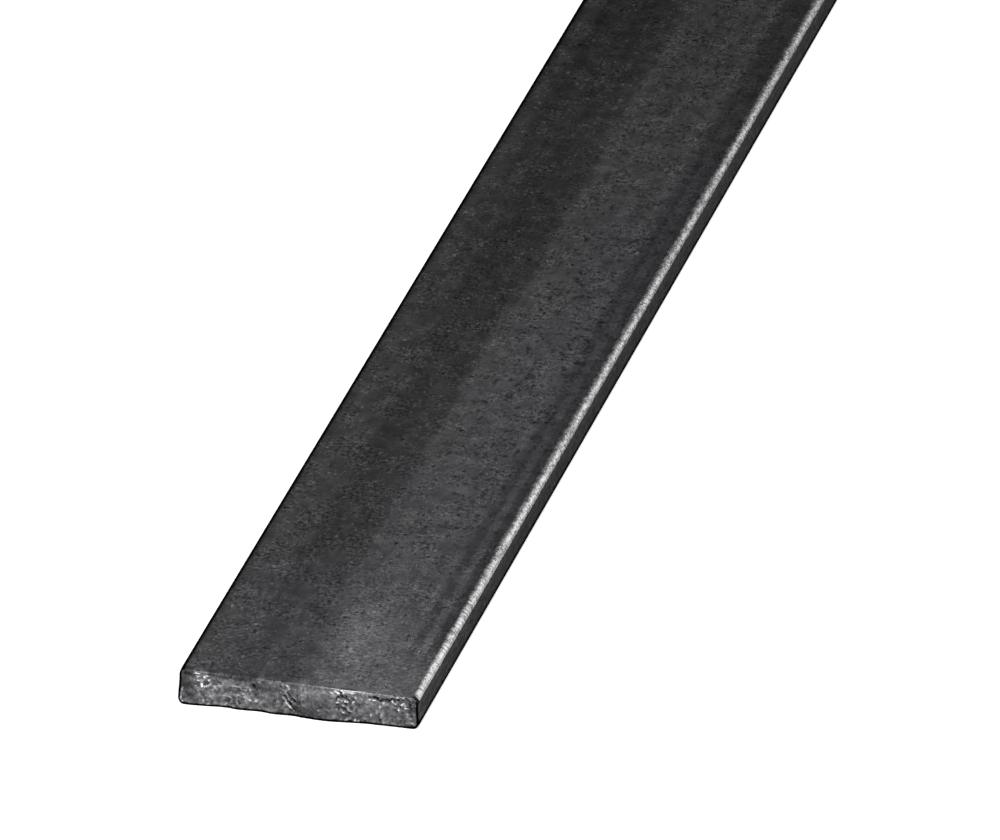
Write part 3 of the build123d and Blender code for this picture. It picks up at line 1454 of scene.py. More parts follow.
# Crescents and grains between the ring and the long tears.
CRESCENTS = (
    ((-14.05, 3.50), (-13.45, 2.70), 0.18, 0.05, 0.44),
    ((-13.85, 4.90), (-13.65, 4.60), 0.16, -0.06, -0.72),
    ((-13.95, 4.25), (-13.85, 4.35), 0.20, 0.04, 0.44),
    ((-12.62, 4.30), (-12.42, 4.68), 0.15, 0.05, 0.44),
    ((-12.35, 4.72), (-11.75, 4.70), 0.15, 0.05, 0.50),
    ((-11.18, 5.15), (-10.72, 4.72), 0.19, 0.06, 0.81),
    ((-12.20, 0.92), (-11.60, 0.78), 0.19, 0.05, 0.56),
    ((-12.70, 1.84), (-11.00, 1.60), 0.15, -0.03, -0.45),
    ((-10.30, 1.30), (-9.95, 0.80), 0.18, 0.07, 0.75),
    ((-9.98, 1.75), (-9.62, 0.85), 0.16, -0.07, -0.96),
    ((-9.34, 2.92), (-9.03, 2.58), 0.24, 0.07, 1.06),
    ((-8.92, 3.92), (-8.85, 3.85), 0.23, 0.05, 0.50),
    ((-8.28, 3.55), (-7.82, 3.55), 0.25, 0.07, 1.35),
    ((-8.23, 1.75), (-7.75, 1.87), 0.25, 0.07, 1.49),
    ((-7.88, 2.48), (-7.84, 2.30), 0.17, -0.06, -0.66),
    ((-7.12, 1.55), (-6.85, 2.08), 0.20, 0.06, 0.94),
    ((-6.70, 1.50), (-6.60, 1.38), 0.16, -0.06, -0.66),
    ((-7.62, 4.70), (-7.28, 4.10), 0.24, -0.14, -1.43),
    ((-6.78, 3.80), (-6.65, 3.60), 0.16, -0.06, -0.66),
    ((-5.60, 3.05), (-5.45, 2.95), 0.16, -0.05, -0.48),
    ((-4.05, 2.60), (-3.72, 1.85), 0.12, -0.08, -0.96),
    ((-4.05, 1.86), (-3.92, 1.76), 0.17, 0.05, 0.56),
)
# Lip of the drawn edge left of the long tears.
LIP_BURRS = (
    ((-7.65, 5.00), (-7.15, 5.02), 0.12, 0.04, 0.56),
    ((-6.62, 4.98), (-6.40, 5.42), 0.16, 0.05, 1.06),
    ((-5.65, 5.42), (-5.30, 5.42), 0.17, 0.04, 0.44),
    ((-5.05, 5.22), (-4.35, 5.28), 0.18, 0.04, 0.44),
    ((-2.92, 5.45), (-2.46, 5.25), 0.20, 0.06, 1.21),
    ((-2.05, 5.41), (-1.77, 4.99), 0.21, 0.08, 1.78),
    ((-1.86, 4.95), (-1.42, 4.45), 0.17, 0.06, 0.88),
)
# Long tears and the metal thrown up beside them.
LONG_TEARS = (
    ((-2.75, 3.30), (-2.20, 2.60), 0.10, 0.07, 0.95, 0.3),
    ((-2.22, 2.62), (-1.55, 1.86), 0.11, 0.08, 1.30, 0.3),
    ((-1.62, 1.94), (-0.92, 1.12), 0.13, 0.10, 1.90, 0.3),
    ((-0.94, 1.14), (-0.60, 0.78), 0.10, 0.07, 1.10, 0.3),
    ((-2.46, 3.52), (-1.80, 2.70), 0.10, -0.13, -1.20, 0.4),
    ((-1.84, 2.72), (-1.00, 1.74), 0.11, -0.17, -1.65, 0.4),
    ((-1.00, 1.70), (-0.60, 1.12), 0.12, -0.13, -1.21, 0.4),
    ((-2.16, 3.92), (-1.72, 3.30), 0.12, 0.08, 0.85),
    ((-1.72, 3.20), (-1.42, 2.68), 0.12, 0.08, 0.95),
    ((-1.35, 2.50), (-0.85, 2.45), 0.14, 0.08, 1.50),
    ((-0.80, 2.42), (-0.35, 2.20), 0.11, 0.06, 0.79),
    ((-1.95, 4.05), (-1.32, 3.30), 0.11, -0.14, -1.54),
    ((-1.30, 3.10), (-0.95, 2.82), 0.10, -0.13, -1.43),
    ((-1.00, 2.86), (-0.50, 2.68), 0.13, -0.15, -1.87),
    ((-1.45, 2.15), (-1.18, 1.90), 0.14, -0.14, -1.65),
    ((-2.78, 4.02), (-2.72, 3.88), 0.11, -0.07, -0.96),
    ((-3.06, 4.02), (-3.02, 3.78), 0.14, 0.05, 0.56),
    ((-2.48, 4.45), (-2.38, 4.22), 0.16, 0.05, 0.62),
    ((-0.62, 4.80), (-0.58, 4.62), 0.17, 0.05, 0.62),
    ((-0.70, 3.60), (-0.62, 3.54), 0.16, 0.05, 0.45),
    ((-0.18, 4.35), (-0.20, 2.90), 0.13, -0.06, -0.72),
    ((-0.62, 2.00), (-0.52, 1.55), 0.14, -0.07, -0.96),
    ((0.02, 2.95), (0.40, 2.10), 0.17, -0.08, -1.10),
    ((0.02, 2.05), (0.06, 1.85), 0.17, 0.05, 0.62),
    ((-0.45, 0.75), (-0.35, 0.55), 0.13, 0.05, 0.50),
    ((-0.12, 0.50), (-0.02, 0.25), 0.22, -0.07, -1.10),
)
# Scratches and flecks on the slab.
SLAB_SCRATCHES = (
    ((0.45, 5.35), (0.50, 4.75), 0.16, 0.03, 0.38),
    ((1.05, 5.30), (1.08, 4.70), 0.16, 0.03, 0.38),
    ((1.50, 5.30), (2.60, 5.20), 0.26, 0.02, 0.22),
    ((3.40, 2.70), (3.35, 2.35), 0.14, -0.06, -0.72),
    ((3.38, 2.32), (3.95, 2.10), 0.13, -0.05, -0.60),
    ((3.38, 1.76), (3.62, 1.46), 0.20, 0.07, 1.21),
    ((3.74, 1.10), (3.78, 1.00), 0.16, 0.05, 0.75),
    ((4.20, 2.75), (4.55, 2.25), 0.14, 0.05, 0.44),
    ((4.60, 2.20), (5.30, 1.70), 0.17, 0.05, 0.44),
    ((4.20, 3.55), (4.60, 3.62), 0.18, -0.05, -0.42),
)
# Crack and chips right of the middle.
CRACK_AND_CHIPS = (
    ((5.20, 4.98), (5.75, 4.90), 0.22, 0.06, 0.80),
    ((5.85, 5.28), (6.45, 5.30), 0.19, 0.07, 1.38),
    ((6.45, 5.30), (6.80, 4.82), 0.19, 0.07, 1.64),
    ((6.08, 4.98), (6.14, 4.75), 0.12, -0.05, -0.60),
    ((7.12, 5.42), (7.55, 5.12), 0.24, 0.08, 2.00),
    ((7.55, 5.38), (9.50, 5.38), 0.22, 0.02, 1.75),
    ((6.82, 5.56), (7.16, 4.94), 0.10, -0.10, -1.70),
    ((6.22, 4.16), (6.75, 4.42), 0.15, -0.13, -1.55),
    ((6.85, 4.42), (7.50, 4.70), 0.14, -0.10, -1.20),
    ((7.50, 4.70), (8.00, 4.82), 0.13, -0.10, -1.20),
    ((7.34, 4.58), (7.40, 4.22), 0.17, -0.14, -1.90),
    ((8.05, 4.66), (7.70, 4.28), 0.14, -0.13, -1.70),
    ((7.68, 4.22), (8.50, 3.94), 0.16, -0.13, -1.60),
    ((6.20, 4.05), (6.34, 3.72), 0.16, -0.11, -1.54),
    ((6.43, 4.02), (7.00, 3.82), 0.17, 0.07, 1.55),
    ((6.28, 3.46), (6.72, 3.26), 0.20, 0.09, 1.92),
    ((7.66, 3.70), (8.28, 3.52), 0.23, 0.09, 1.98),
    ((8.91, 3.67), (9.33, 3.95), 0.18, 0.07, 1.61),
    ((6.87, 3.24), (7.40, 3.88), 0.13, 0.05, 1.15),
    ((6.42, 2.98), (6.60, 2.92), 0.17, -0.10, -1.32),
    ((7.62, 3.34), (8.08, 3.16), 0.17, -0.14, -1.87),
    ((9.12, 4.20), (9.20, 4.12), 0.17, -0.08, -1.21),
    ((8.52, 2.70), (8.78, 2.56), 0.18, -0.07, -1.02),
    ((7.45, 3.18), (8.05, 2.66), 0.15, 0.06, 0.62),
    ((8.05, 2.66), (8.62, 2.10), 0.16, 0.06, 0.62),
    ((8.50, 2.00), (8.92, 2.17), 0.20, 0.07, 1.06),
    ((8.98, 2.18), (9.55, 2.80), 0.14, 0.05, 0.44),
    ((7.42, 1.86), (7.80, 1.64), 0.17, 0.07, 1.30),
    ((8.03, 1.72), (8.10, 1.50), 0.16, 0.05, 0.75),
    ((6.38, 2.45), (6.30, 2.15), 0.17, 0.06, 0.88),
    ((7.00, 2.55), (7.14, 2.05), 0.16, 0.06, 1.00),
    ((7.04, 1.55), (6.92, 1.10), 0.15, 0.05, 0.56),
    ((7.12, 2.80), (7.66, 2.05), 0.12, -0.09, -1.35),
    ((6.62, 2.60), (6.70, 2.05), 0.11, -0.07, -0.72),
    ((7.71, 2.50), (8.50, 1.55), 0.12, -0.09, -1.30),
    ((7.95, 0.72), (8.80, 0.80), 0.27, 0.05, 0.56),
    ((7.62, 0.85), (7.78, 0.50), 0.17, -0.08, -1.21),
    ((9.08, 1.05), (9.02, 0.90), 0.18, -0.10, -1.54),
    ((9.35, 0.91), (9.47, 0.37), 0.16, 0.07, 1.61),
    ((9.57, 0.25), (10.08, 0.25), 0.16, 0.05, 1.44),
    ((7.59, 0.23), (8.03, 0.27), 0.12, 0.04, 1.00),
    ((9.51, 4.92), (9.62, 4.40), 0.14, 0.06, 0.95),
    ((10.42, 4.68), (10.50, 4.12), 0.17, 0.06, 0.85),
    ((10.35, 3.70), (10.40, 3.10), 0.18, 0.03, 0.44),
    ((8.35, 4.45), (8.55, 4.20), 0.17, 0.05, 0.69),
)
# Wavy crack under the burnish towards the +x edge, and the lips it turned up.
WAVY_CRACK = (
    ((10.05, 5.50), (11.05, 5.52), 0.16, 0.05, 0.60),
    ((11.55, 5.02), (12.30, 5.10), 0.17, -0.08, -0.96),
    ((12.30, 5.12), (13.02, 5.12), 0.13, -0.13, -1.45),
    ((12.95, 5.20), (13.42, 4.72), 0.17, -0.15, -1.54),
    ((13.40, 4.72), (13.66, 4.56), 0.13, -0.10, -1.20),
    ((13.66, 4.60), (14.04, 4.84), 0.12, -0.10, -1.20),
    ((14.00, 4.86), (14.35, 5.02), 0.17, -0.11, -1.32),
    ((14.30, 5.00), (14.75, 5.02), 0.13, -0.14, -1.75),
    ((14.75, 4.92), (15.20, 4.84), 0.17, -0.13, -1.32),
    ((15.35, 5.22), (15.80, 5.12), 0.17, -0.15, -1.87),
    ((15.80, 5.08), (16.30, 4.88), 0.16, -0.13, -1.43),
    ((16.42, 5.08), (16.90, 5.30), 0.19, -0.18, -2.42),
    ((17.10, 5.24), (17.60, 5.20), 0.14, -0.10, -1.08),
    ((17.82, 5.78), (18.30, 5.30), 0.14, -0.14, -2.09),
    ((18.30, 5.30), (18.85, 5.04), 0.14, -0.13, -1.65),
    ((11.65, 4.46), (12.15, 4.66), 0.17, 0.07, 1.09),
    ((12.40, 4.50), (13.05, 4.62), 0.18, 0.07, 1.55),
    ((13.60, 4.35), (13.66, 4.15), 0.16, 0.05, 0.50),
    ((14.05, 4.44), (14.34, 4.12), 0.16, 0.05, 0.88),
    ((15.50, 4.95), (15.88, 4.50), 0.17, 0.07, 1.09),
    ((15.88, 4.50), (16.32, 4.34), 0.18, 0.07, 1.49),
    ((17.70, 4.78), (17.28, 4.50), 0.17, 0.08, 1.38),
    ((17.28, 4.50), (17.06, 4.08), 0.18, 0.07, 1.55),
    ((15.20, 5.52), (15.90, 5.50), 0.17, 0.05, 0.94),
    ((16.25, 5.58), (16.75, 5.66), 0.19, 0.07, 1.49),
    ((17.30, 5.70), (17.75, 5.50), 0.17, 0.05, 1.03),
    ((18.33, 5.56), (18.97, 5.34), 0.14, 0.05, 0.94),
    ((13.05, 5.42), (13.25, 5.28), 0.16, 0.04, 0.62),
    ((16.82, 4.08), (16.92, 3.78), 0.17, -0.15, -1.76),
    ((16.69, 3.62), (16.79, 3.05), 0.13, 0.07, 1.20),
    ((17.59, 3.73), (17.99, 3.99), 0.20, 0.08, 1.26),
    ((18.92, 4.68), (19.35, 4.68), 0.20, 0.06, 1.26),
    ((18.02, 2.90), (18.30, 2.56), 0.15, 0.05, 0.70),
    ((13.50, 3.78), (13.55, 3.15), 0.13, 0.06, 1.15),
    ((18.88, 1.15), (18.94, 0.70), 0.30, 0.06, 1.05),
    ((13.50, 1.65), (13.60, 1.07), 0.20, 0.07, 1.09),
    ((11.88, 1.88), (12.20, 1.42), 0.23, 0.06, 0.81),
    ((18.25, 1.84), (18.75, 1.78), 0.20, 0.05, 0.56),
    ((16.75, 1.48), (16.85, 1.42), 0.23, 0.05, 0.62),
    ((14.85, 1.52), (15.35, 1.50), 0.18, 0.04, 0.44),
    ((13.85, 2.85), (13.92, 1.80), 0.15, 0.03, 0.25),
    ((13.36, 2.15), (13.32, 1.75), 0.14, -0.07, -0.90),
    ((16.30, 3.02), (16.55, 2.92), 0.20, -0.06, -0.72),
    ((15.42, 2.16), (15.62, 2.08), 0.17, -0.05, -0.72),
    ((18.12, 4.20), (18.18, 4.05), 0.18, -0.07, -1.54),
    ((18.55, 4.30), (18.75, 3.30), 0.27, -0.05, -0.84),
    ((18.86, 2.60), (18.98, 2.30), 0.20, -0.07, -1.21),
    ((18.30, 4.90), (18.60, 4.40), 0.27, -0.05, -0.72),
)
NEAR_STROKES = (
    *FOLDS_AND_RING,
    *CRESCENTS,
    *LIP_BURRS,
    *LONG_TEARS,
    *SLAB_SCRATCHES,
    *CRACK_AND_CHIPS,
    *WAVY_CRACK,
)
NEAR_SCARS = (
    Dent((-15.50, 3.88), 0.62, 0.14, 0.03, -0.30),
    *(Stroke(*row) for row in NEAR_STROKES),
)
# Where the tear of the near end is smooth: centre, size and amount.
NEAR_CALMS = tuple(
    Patch(*row)
    for row in (
        ((3.2, 3.8), (3.0, 1.9), 0.9), ((1.6, 1.2), (1.8, 1.2), 0.8),
        ((-4.8, 4.0), (1.9, 0.9), 0.85), ((-5.0, 1.2), (2.5, 1.0), 0.5),
        ((-18.8, 3.0), (1.6, 4.0), 0.85), ((12.5, 3.2), (2.6, 1.6), 0.7),
        ((15.2, 2.6), (1.2, 1.6), 0.6), ((5.5, 1.2), (1.0, 1.2), 0.6),
    )
)
# Patches of the near face's tone, brighter above 0 and darker below: centre, size
# and log brightness. The dark band at (-11.2, 5.2), just under the drawn edge, is
# painted shade of the lip above it.
NEAR_TONE_PATCHES = tuple(
    Patch(*row)
    for row in (
        ((-11.2, 5.2), (3.4, 0.3), -0.45), ((7.5, 1.6), (4.5, 1.6), -0.16),
        ((-7.0, 0.6), (2.5, 0.8), 0.14), ((-15.0, 1.8), (2.0, 1.2), 0.12),
        ((-19.2, 4.3), (1.9, 2.8), -0.68), ((-17.6, 1.5), (0.8, 0.55), -0.55),
        ((-16.1, 4.2), (1.3, 1.4), 0.25), ((-11.5, 2.6), (4.6, 2.6), 0.22),
        ((-4.9, 3.9), (1.9, 0.7), -0.55), ((-7.3, 4.3), (0.6, 0.7), -0.35),
        ((2.6, 4.9), (3.6, 1.0), 0.28), ((1.6, 0.9), (1.7, 1.2), -0.75),
        ((0.0, 1.0), (0.9, 0.9), -0.4), ((5.2, 2.6), (1.4, 1.6), -0.35),
        ((9.5, 3.3), (1.0, 1.2), -0.25), ((12.0, 3.6), (2.2, 1.0), 0.15),
        ((13.5, 5.05), (5.2, 0.35), -0.35), ((18.9, 3.8), (0.9, 2.4), -0.85),
        ((-7.0, 4.6), (3.2, 0.6), -0.32), ((-1.2, 4.2), (1.0, 0.9), -0.35),
        ((5.4, 4.6), (1.8, 0.7), 0.35), ((-16.2, 2.8), (1.4, 1.6), 0.36),
        ((8.8, 2.3), (1.2, 1.1), -0.30), ((-1.4, 1.2), (1.4, 1.2), -0.45),
        ((16.4, 0.8), (1.2, 0.9), -0.45), ((3.6, 0.7), (1.5, 0.6), -0.25),
        ((11.2, 3.9), (1.3, 0.6), 0.28), ((-6.2, 3.7), (1.2, 0.6), -0.30),
        ((-11.2, 1.9), (1.2, 0.5), -0.28), ((-8.5, 0.7), (1.6, 0.5), 0.25),
        ((-18.8, 5.3), (1.2, 0.5), -0.65), ((-13.8, 5.3), (1.2, 0.4), -0.40),
        ((-6.2, 5.3), (1.3, 0.4), -0.60), ((-1.2, 5.3), (1.3, 0.4), -0.68),
        ((3.4, 5.3), (2.0, 0.4), -0.58), ((8.8, 5.3), (1.3, 0.4), -0.42),
        ((11.3, 5.3), (1.2, 0.4), 0.62), ((16.2, 5.3), (1.2, 0.4), -0.30),
        ((8.9, 4.6), (1.1, 0.5), 0.32), ((6.0, 4.7), (0.8, 0.5), 0.25),
        ((18.7, 4.5), (0.8, 0.6), 0.40), ((-8.8, 4.7), (1.2, 0.4), -0.20),
        ((-13.8, 3.8), (1.2, 0.6), -0.26), ((8.9, 3.8), (1.0, 0.5), 0.26),
        ((13.8, 2.8), (1.3, 0.6), -0.26), ((18.8, 1.4), (0.9, 1.0), 0.30),
        ((-3.8, 1.8), (1.2, 0.6), -0.20),
    )
)
# Lips of the near end: glints above 0 are painted highlights, below 0 painted shade.
NEAR_LIPS = (
    Lip(-20.5, -17.5, turn=0.5, spread=0.6, bare=0.0, glint=-0.45),
    Lip(-15.2, -6.9, turn=0.50, spread=0.65, bare=0.0, glint=-0.85),
    Lip(-17.45, -16.15, turn=0.84, spread=0.14, bare=0.7, glint=0.55),
    Lip(-17.35, -16.45, turn=0.48, spread=0.16, bare=0.2, glint=-1.3),
    Lip(-6.9, -2.3, turn=0.05, spread=0.25, bare=0.9, glint=0.1),
    Lip(-5.5, -4.2, turn=0.45, spread=0.18, bare=0.0, glint=-0.6),
    Lip(-3.0, -2.4, turn=0.42, spread=0.18, bare=0.0, glint=-1.3),
    Lip(-0.6, 5.4, turn=0.05, spread=0.25, bare=0.8, glint=0.1),
    Lip(5.4, 6.8, turn=0.05, spread=0.3, bare=1.0, glint=0.8),
    Lip(6.95, 11.2, turn=0.05, spread=0.30, bare=1.0, glint=1.5),
    Lip(11.2, 18.6, turn=0.05, spread=0.25, bare=0.8, glint=0.3),
    Lip(6.9, 9.7, turn=0.54, spread=0.2, bare=0.0, glint=-1.2),
    Lip(4.2, 6.2, turn=0.55, spread=0.2, bare=0.0, glint=-0.5),
)
# How far down the near end the rub goes: place across and height.
NEAR_RUBBED = (
    (-20.0, 0.4), (-14.0, 0.05), (-8.0, 0.1), (-6.0, 0.8), (-3.0, 0.7),
    (0.5, 1.2), (6.0, 1.0), (10.0, 0.8), (14.0, 0.5), (20.0, 0.4),
)


@dataclass(frozen=True)
class Rim:
    """Points round a cut face before the blade draws them."""

    ring: np.ndarray  # their numbers in the skin
    x: np.ndarray  # places across
    z: np.ndarray  # heights in the end's own frame, up from the foot of the tear
    level: np.ndarray  # heights over the underside of the flat
    depth: np.ndarray  # depths into the bar from the blade line


@dataclass(frozen=True)
class RolledFlat:
    """The steel flat: rolled sides between two sheared ends, as one closed skin."""

    section: RolledSection
    length: float = 1000.0  # between the two blade lines
    thinning_length: float = 2.0
    ring_gap: float = 12.0
    rub_full: float = 0.9  # way round the top edge that is rubbed all over
    rub_reach: float = 2.9  # way at which the rub has died out
    arc_painted_shade: float = 0.95  # painted shade: how dark the -x arcs and the lower +x arc are painted
    flank_dark: float = 0.30  # painted shade: how much darker the narrow faces are painted
    waist_dark: float = 0.26  # and the painted shade of the line along the +x one
    waist_height: float = 3.2
    waist_reach: float = 0.85

    def near_end(self) -> ShearedEnd:
        """The end held in the shear, drawn over from the top.

        Returns:
            The end.
        """
        return ShearedEnd(
            self.section,
            NEAR_MARKS,
            cell=0.1,
            seed=11,
            scars=NEAR_SCARS,
            calms=NEAR_CALMS,
            tone_patches=NEAR_TONE_PATCHES,
            lips=NEAR_LIPS,
            rubbed=NEAR_RUBBED,
        )

    def far_end(self) -> ShearedEnd:
        """The end that fell from the shear, drawn over from below."""
        return ShearedEnd(self.section, FAR_MARKS, cell=0.2, seed=47, reach_limit=0.11)

    def edge_share(self, x: np.ndarray, z: np.ndarray) -> np.ndarray:
        """How near a point is to the rubbed +x top edge: 1 round the arc, falling
        away evenly on the first bit of the broad face and fast on the narrow one.

        Args:
            x: Places across.
            z: Heights.

        Returns:
            The share at each point.
        """
        radius = self.section.edge_radius
        out = x - (self.section.width / 2 - radius)
        up = z - (self.section.thickness - radius)
        turn = np.arctan2(np.maximum(up, 0.0), np.maximum(out, 0.0))
        way = radius * turn + np.maximum(-out, 0.0)
        fall = (self.rub_reach - way) / (self.rub_reach - self.rub_full)
        nearness = np.clip(fall, 0.0, 1.0)
        return np.where(up > 1e-4, smooth_step(way, -0.15, 0.75) * nearness, 0.0)

    def outline(self, x: np.ndarray, z: np.ndarray) -> np.ndarray:
        """Tone of the scale round the section: full on the broad faces, less on the
        narrow ones, least on the -x arcs and the lower +x arc. All of it is painted
        shade: dark lines along the silhouettes and darker narrow faces.

        Args:
            x: Places across.
            z: Heights.

        Returns:
            Factor on the scale's tone.
        """
        flat_x = self.section.width / 2 - self.section.edge_radius
        flat_z = self.section.thickness / 2 - self.section.edge_radius
        out = np.maximum(np.abs(x) - flat_x, 0.0)
        up = np.maximum(np.abs(z - self.section.thickness / 2) - flat_z, 0.0)
        tip = np.degrees(np.arctan2(out, np.maximum(up, 1e-6)))  # 0 on a broad face
        tip = np.where(out < 1e-4, 0.0, tip)
        flank = smooth_step(tip, 60.0, 85.0)
        # painted shade along the -x arcs, and below along the lower +x arc
        dark = np.where(x < 0, smooth_step(tip, 2.0, 20.0) * (1.0 - flank), 0.0)
        foot = smooth_step(z, 2.1, 1.5) * smooth_step(out, 0.0, 0.4)
        dark = np.where(x > 0, foot, dark)
        waist = self.waist_dark * bell(z, self.waist_height, self.waist_reach)
        waist = np.where(x > 0, waist, 0.0)
        return (1.0 - self.arc_painted_shade * dark) * (1.0 - (self.flank_dark + waist) * flank)

    def corner_tone(self, x: np.ndarray, z: np.ndarray, turn: float) -> np.ndarray:
        """Tone where the rubbed edge meets the cut: dark in the fold of the arc, which
        is painted shade, and pale on the cheek behind it.

        Args:
            x: Places across.
            z: Heights.
            turn: Where on the draw, 0 on the blade line.

        Returns:
            Factor on the tone.
        """
        fold = smooth_step(x, 18.6, 19.3) * smooth_step(z, 4.4, 5.2)
        cheek = smooth_step(x, 19.75, 19.95)
        dark = 1.0 - 0.75 * fold * bell(turn, 0.55, 0.4)
        return dark * (1.0 + 1.1 * cheek * bell(turn, 0.95, 0.35))

    def placed(self, x: np.ndarray, z: np.ndarray, depth: np.ndarray, side: float) -> np.ndarray:
        """Points of one end in the flat's frame. The far end is the near one's kind
        turned half round about x.

        Args:
            x: Places across.
            z: Heights in the end's own frame.
            depth: Depths into the bar from the blade line.
            side: -1 for the near end and 1 for the far one.

        Returns:
            The points.
        """
        level = z if side < 0 else self.section.thickness - z
        return np.stack([x, side * (self.length / 2 - depth), level], -1)

    def lay_face(self, skin: Skin, end: ShearedEnd, side: float) -> Rim:
        """Cut face of one end: the section's grid, warped as at the blade line, at
        the depth of its cut.

        Args:
            skin: Where the points and faces go.
            end: The end.
            side: -1 for the near end and 1 for the far one.

        Returns:
            The face's rim.
        """
        x, z = self.section.grid(end.cell)
        low_x, low = end.warp(x, z, 0.0)
        depth, shade = end.face(x, z, low)
        face = skin.add(
            self.placed(low_x, low, depth, side).reshape(-1, 3),
            bare=end.smeared(x, z).ravel(),
            shade=shade.ravel(),
            edge=0.0,
            drawn=0.0,
        )
        skin.quads.append(grid_quads(face.reshape(x.shape)))
        rim = rim_of(*x.shape)
        rim_z = z.ravel()[rim]
        level = rim_z if side < 0 else self.section.thickness - rim_z
        return Rim(face[rim], x.ravel()[rim], rim_z, level, depth.ravel()[rim])

    def draw_ring(
        self, skin: Skin, end: ShearedEnd, side: float, rim: Rim, turn: float
    ) -> np.ndarray:
        """One ring of the drawn edge, L (1 - cos turn) behind the blade line, and
        keeping cos turn of the rim's own depth.

        Args:
            skin: Where the points go.
            end: The end.
            side: -1 for the near end and 1 for the far one.
            rim: Rim of the end's cut face.
            turn: Where on the draw, 0 on the blade line.

        Returns:
            The ring.
        """
        x, z = end.warp(rim.x, rim.z, turn)
        back = end.draw_length * (1.0 - math.cos(turn)) + rim.depth * math.cos(turn)
        thickness = self.section.thickness
        on_top = smooth_step(rim.z, thickness - 0.9, thickness - 0.3)
        bare, glow = end.lips_at(rim.x, turn, on_top)
        shade = self.outline(rim.x, rim.level)
        # the lips' painted highlights and painted shade
        shade = (shade + (1.0 - shade) * bare) * np.exp(glow)
        return skin.add(
            self.placed(x, z, back, side),
            bare=bare,
            shade=shade * self.corner_tone(rim.x, rim.level, turn),
            edge=self.edge_share(rim.x, rim.level) * smooth_step(turn, 0.75, 1.15),
            drawn=on_top * smooth_step(turn, 1.4, 1.0),
        )

    def plain_ring(self, skin: Skin, points: np.ndarray) -> np.ndarray:
        """Ring of plain rolled surface, dressed by where its points are.

        Args:
            skin: Where the points go.
            points: N by 3 places.

        Returns:
            The ring.
        """
        x, z = points[:, 0], points[:, 2]
        edge, shade = self.edge_share(x, z), self.outline(x, z)
        return skin.add(points, bare=0.0, shade=shade, edge=edge, drawn=0.0)

    def lay_end(
        self, skin: Skin, end: ShearedEnd, side: float
    ) -> tuple[np.ndarray, np.ndarray]:
        """Cut face, drawn edge and thinning band of one end.

        Args:
            skin: Where the points and faces go.
            end: The end.
            side: -1 for the near end and 1 for the far one.

        Returns:
            The last ring, and its points.
        """
        rim = self.lay_face(skin, end, side)
        ring = rim.ring
        for turn in np.linspace(0.0, math.pi / 2, end.draw_turns + 1)[1:]:
            after = self.draw_ring(skin, end, side, rim, turn)
            skin.band(ring, after)
            ring = after
        kept = coarse_of(self.section, end.cell)
        back = np.full(len(kept), end.draw_length + self.thinning_length)
        points = self.placed(rim.x[kept], rim.z[kept], back, side)
        coarse = self.plain_ring(skin, points)
        skin.thinning_band(ring, coarse, kept)
        return coarse, points

    def build(self) -> bpy.types.Object:
        """Lays both ends and the rings between them, and dresses the piece. The
        rings' points are those of the near end, and the far end's last ring is put
        in their order.

        Returns:
            The finished piece.
        """
        skin = Skin()
        near_end = self.near_end()
        near, near_points = self.lay_end(skin, near_end, -1.0)
        far, far_points = self.lay_end(skin, self.far_end(), 1.0)
        matched = np.empty_like(far)
        matched[section_order(near_points)] = far[section_order(far_points)]
        reach = self.length / 2 - near_end.draw_length - self.thinning_length
        rings = round(2 * reach / self.ring_gap)
        ring = near
        for along in np.linspace(-reach, reach, rings + 1)[1:-1]:
            points = near_points.copy()
            points[:, 1] = along
            after = self.plain_ring(skin, points)
            skin.band(ring, after)
            ring = after
        skin.band(ring, matched)
        mesh = skin.mesh(PIECE)
        mesh.materials.append(MillScaleSteel(half_length=self.length / 2).build())
        piece = bpy.data.objects.new(PIECE, mesh)
        bpy.context.scene.collection.objects.link(piece)
        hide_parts(NODE)
        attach(piece, BODY)
        return piece


# -------------------------------------------------------------------- the studio
@dataclass(frozen=True)
class SoftBox:
    """A soft lamp that faces the near end of the flat. Angles are in degrees,
    lengths in metres and power in watts."""

    azimuth: float  # from +y towards +x
    elevation: float
    distance: float
    width: float
    height: float
    power: float


class Lamp(Enum):
    """The two soft lamps: a low one along the rubbed edge and a high key."""

    EDGE = SoftBox(26.0, 13.5, distance=1.4, width=0.80, height=0.90, power=12.0)
    KEY = SoftBox(168.0, 52.0, distance=1.3, width=0.80, height=0.80, power=14.0)


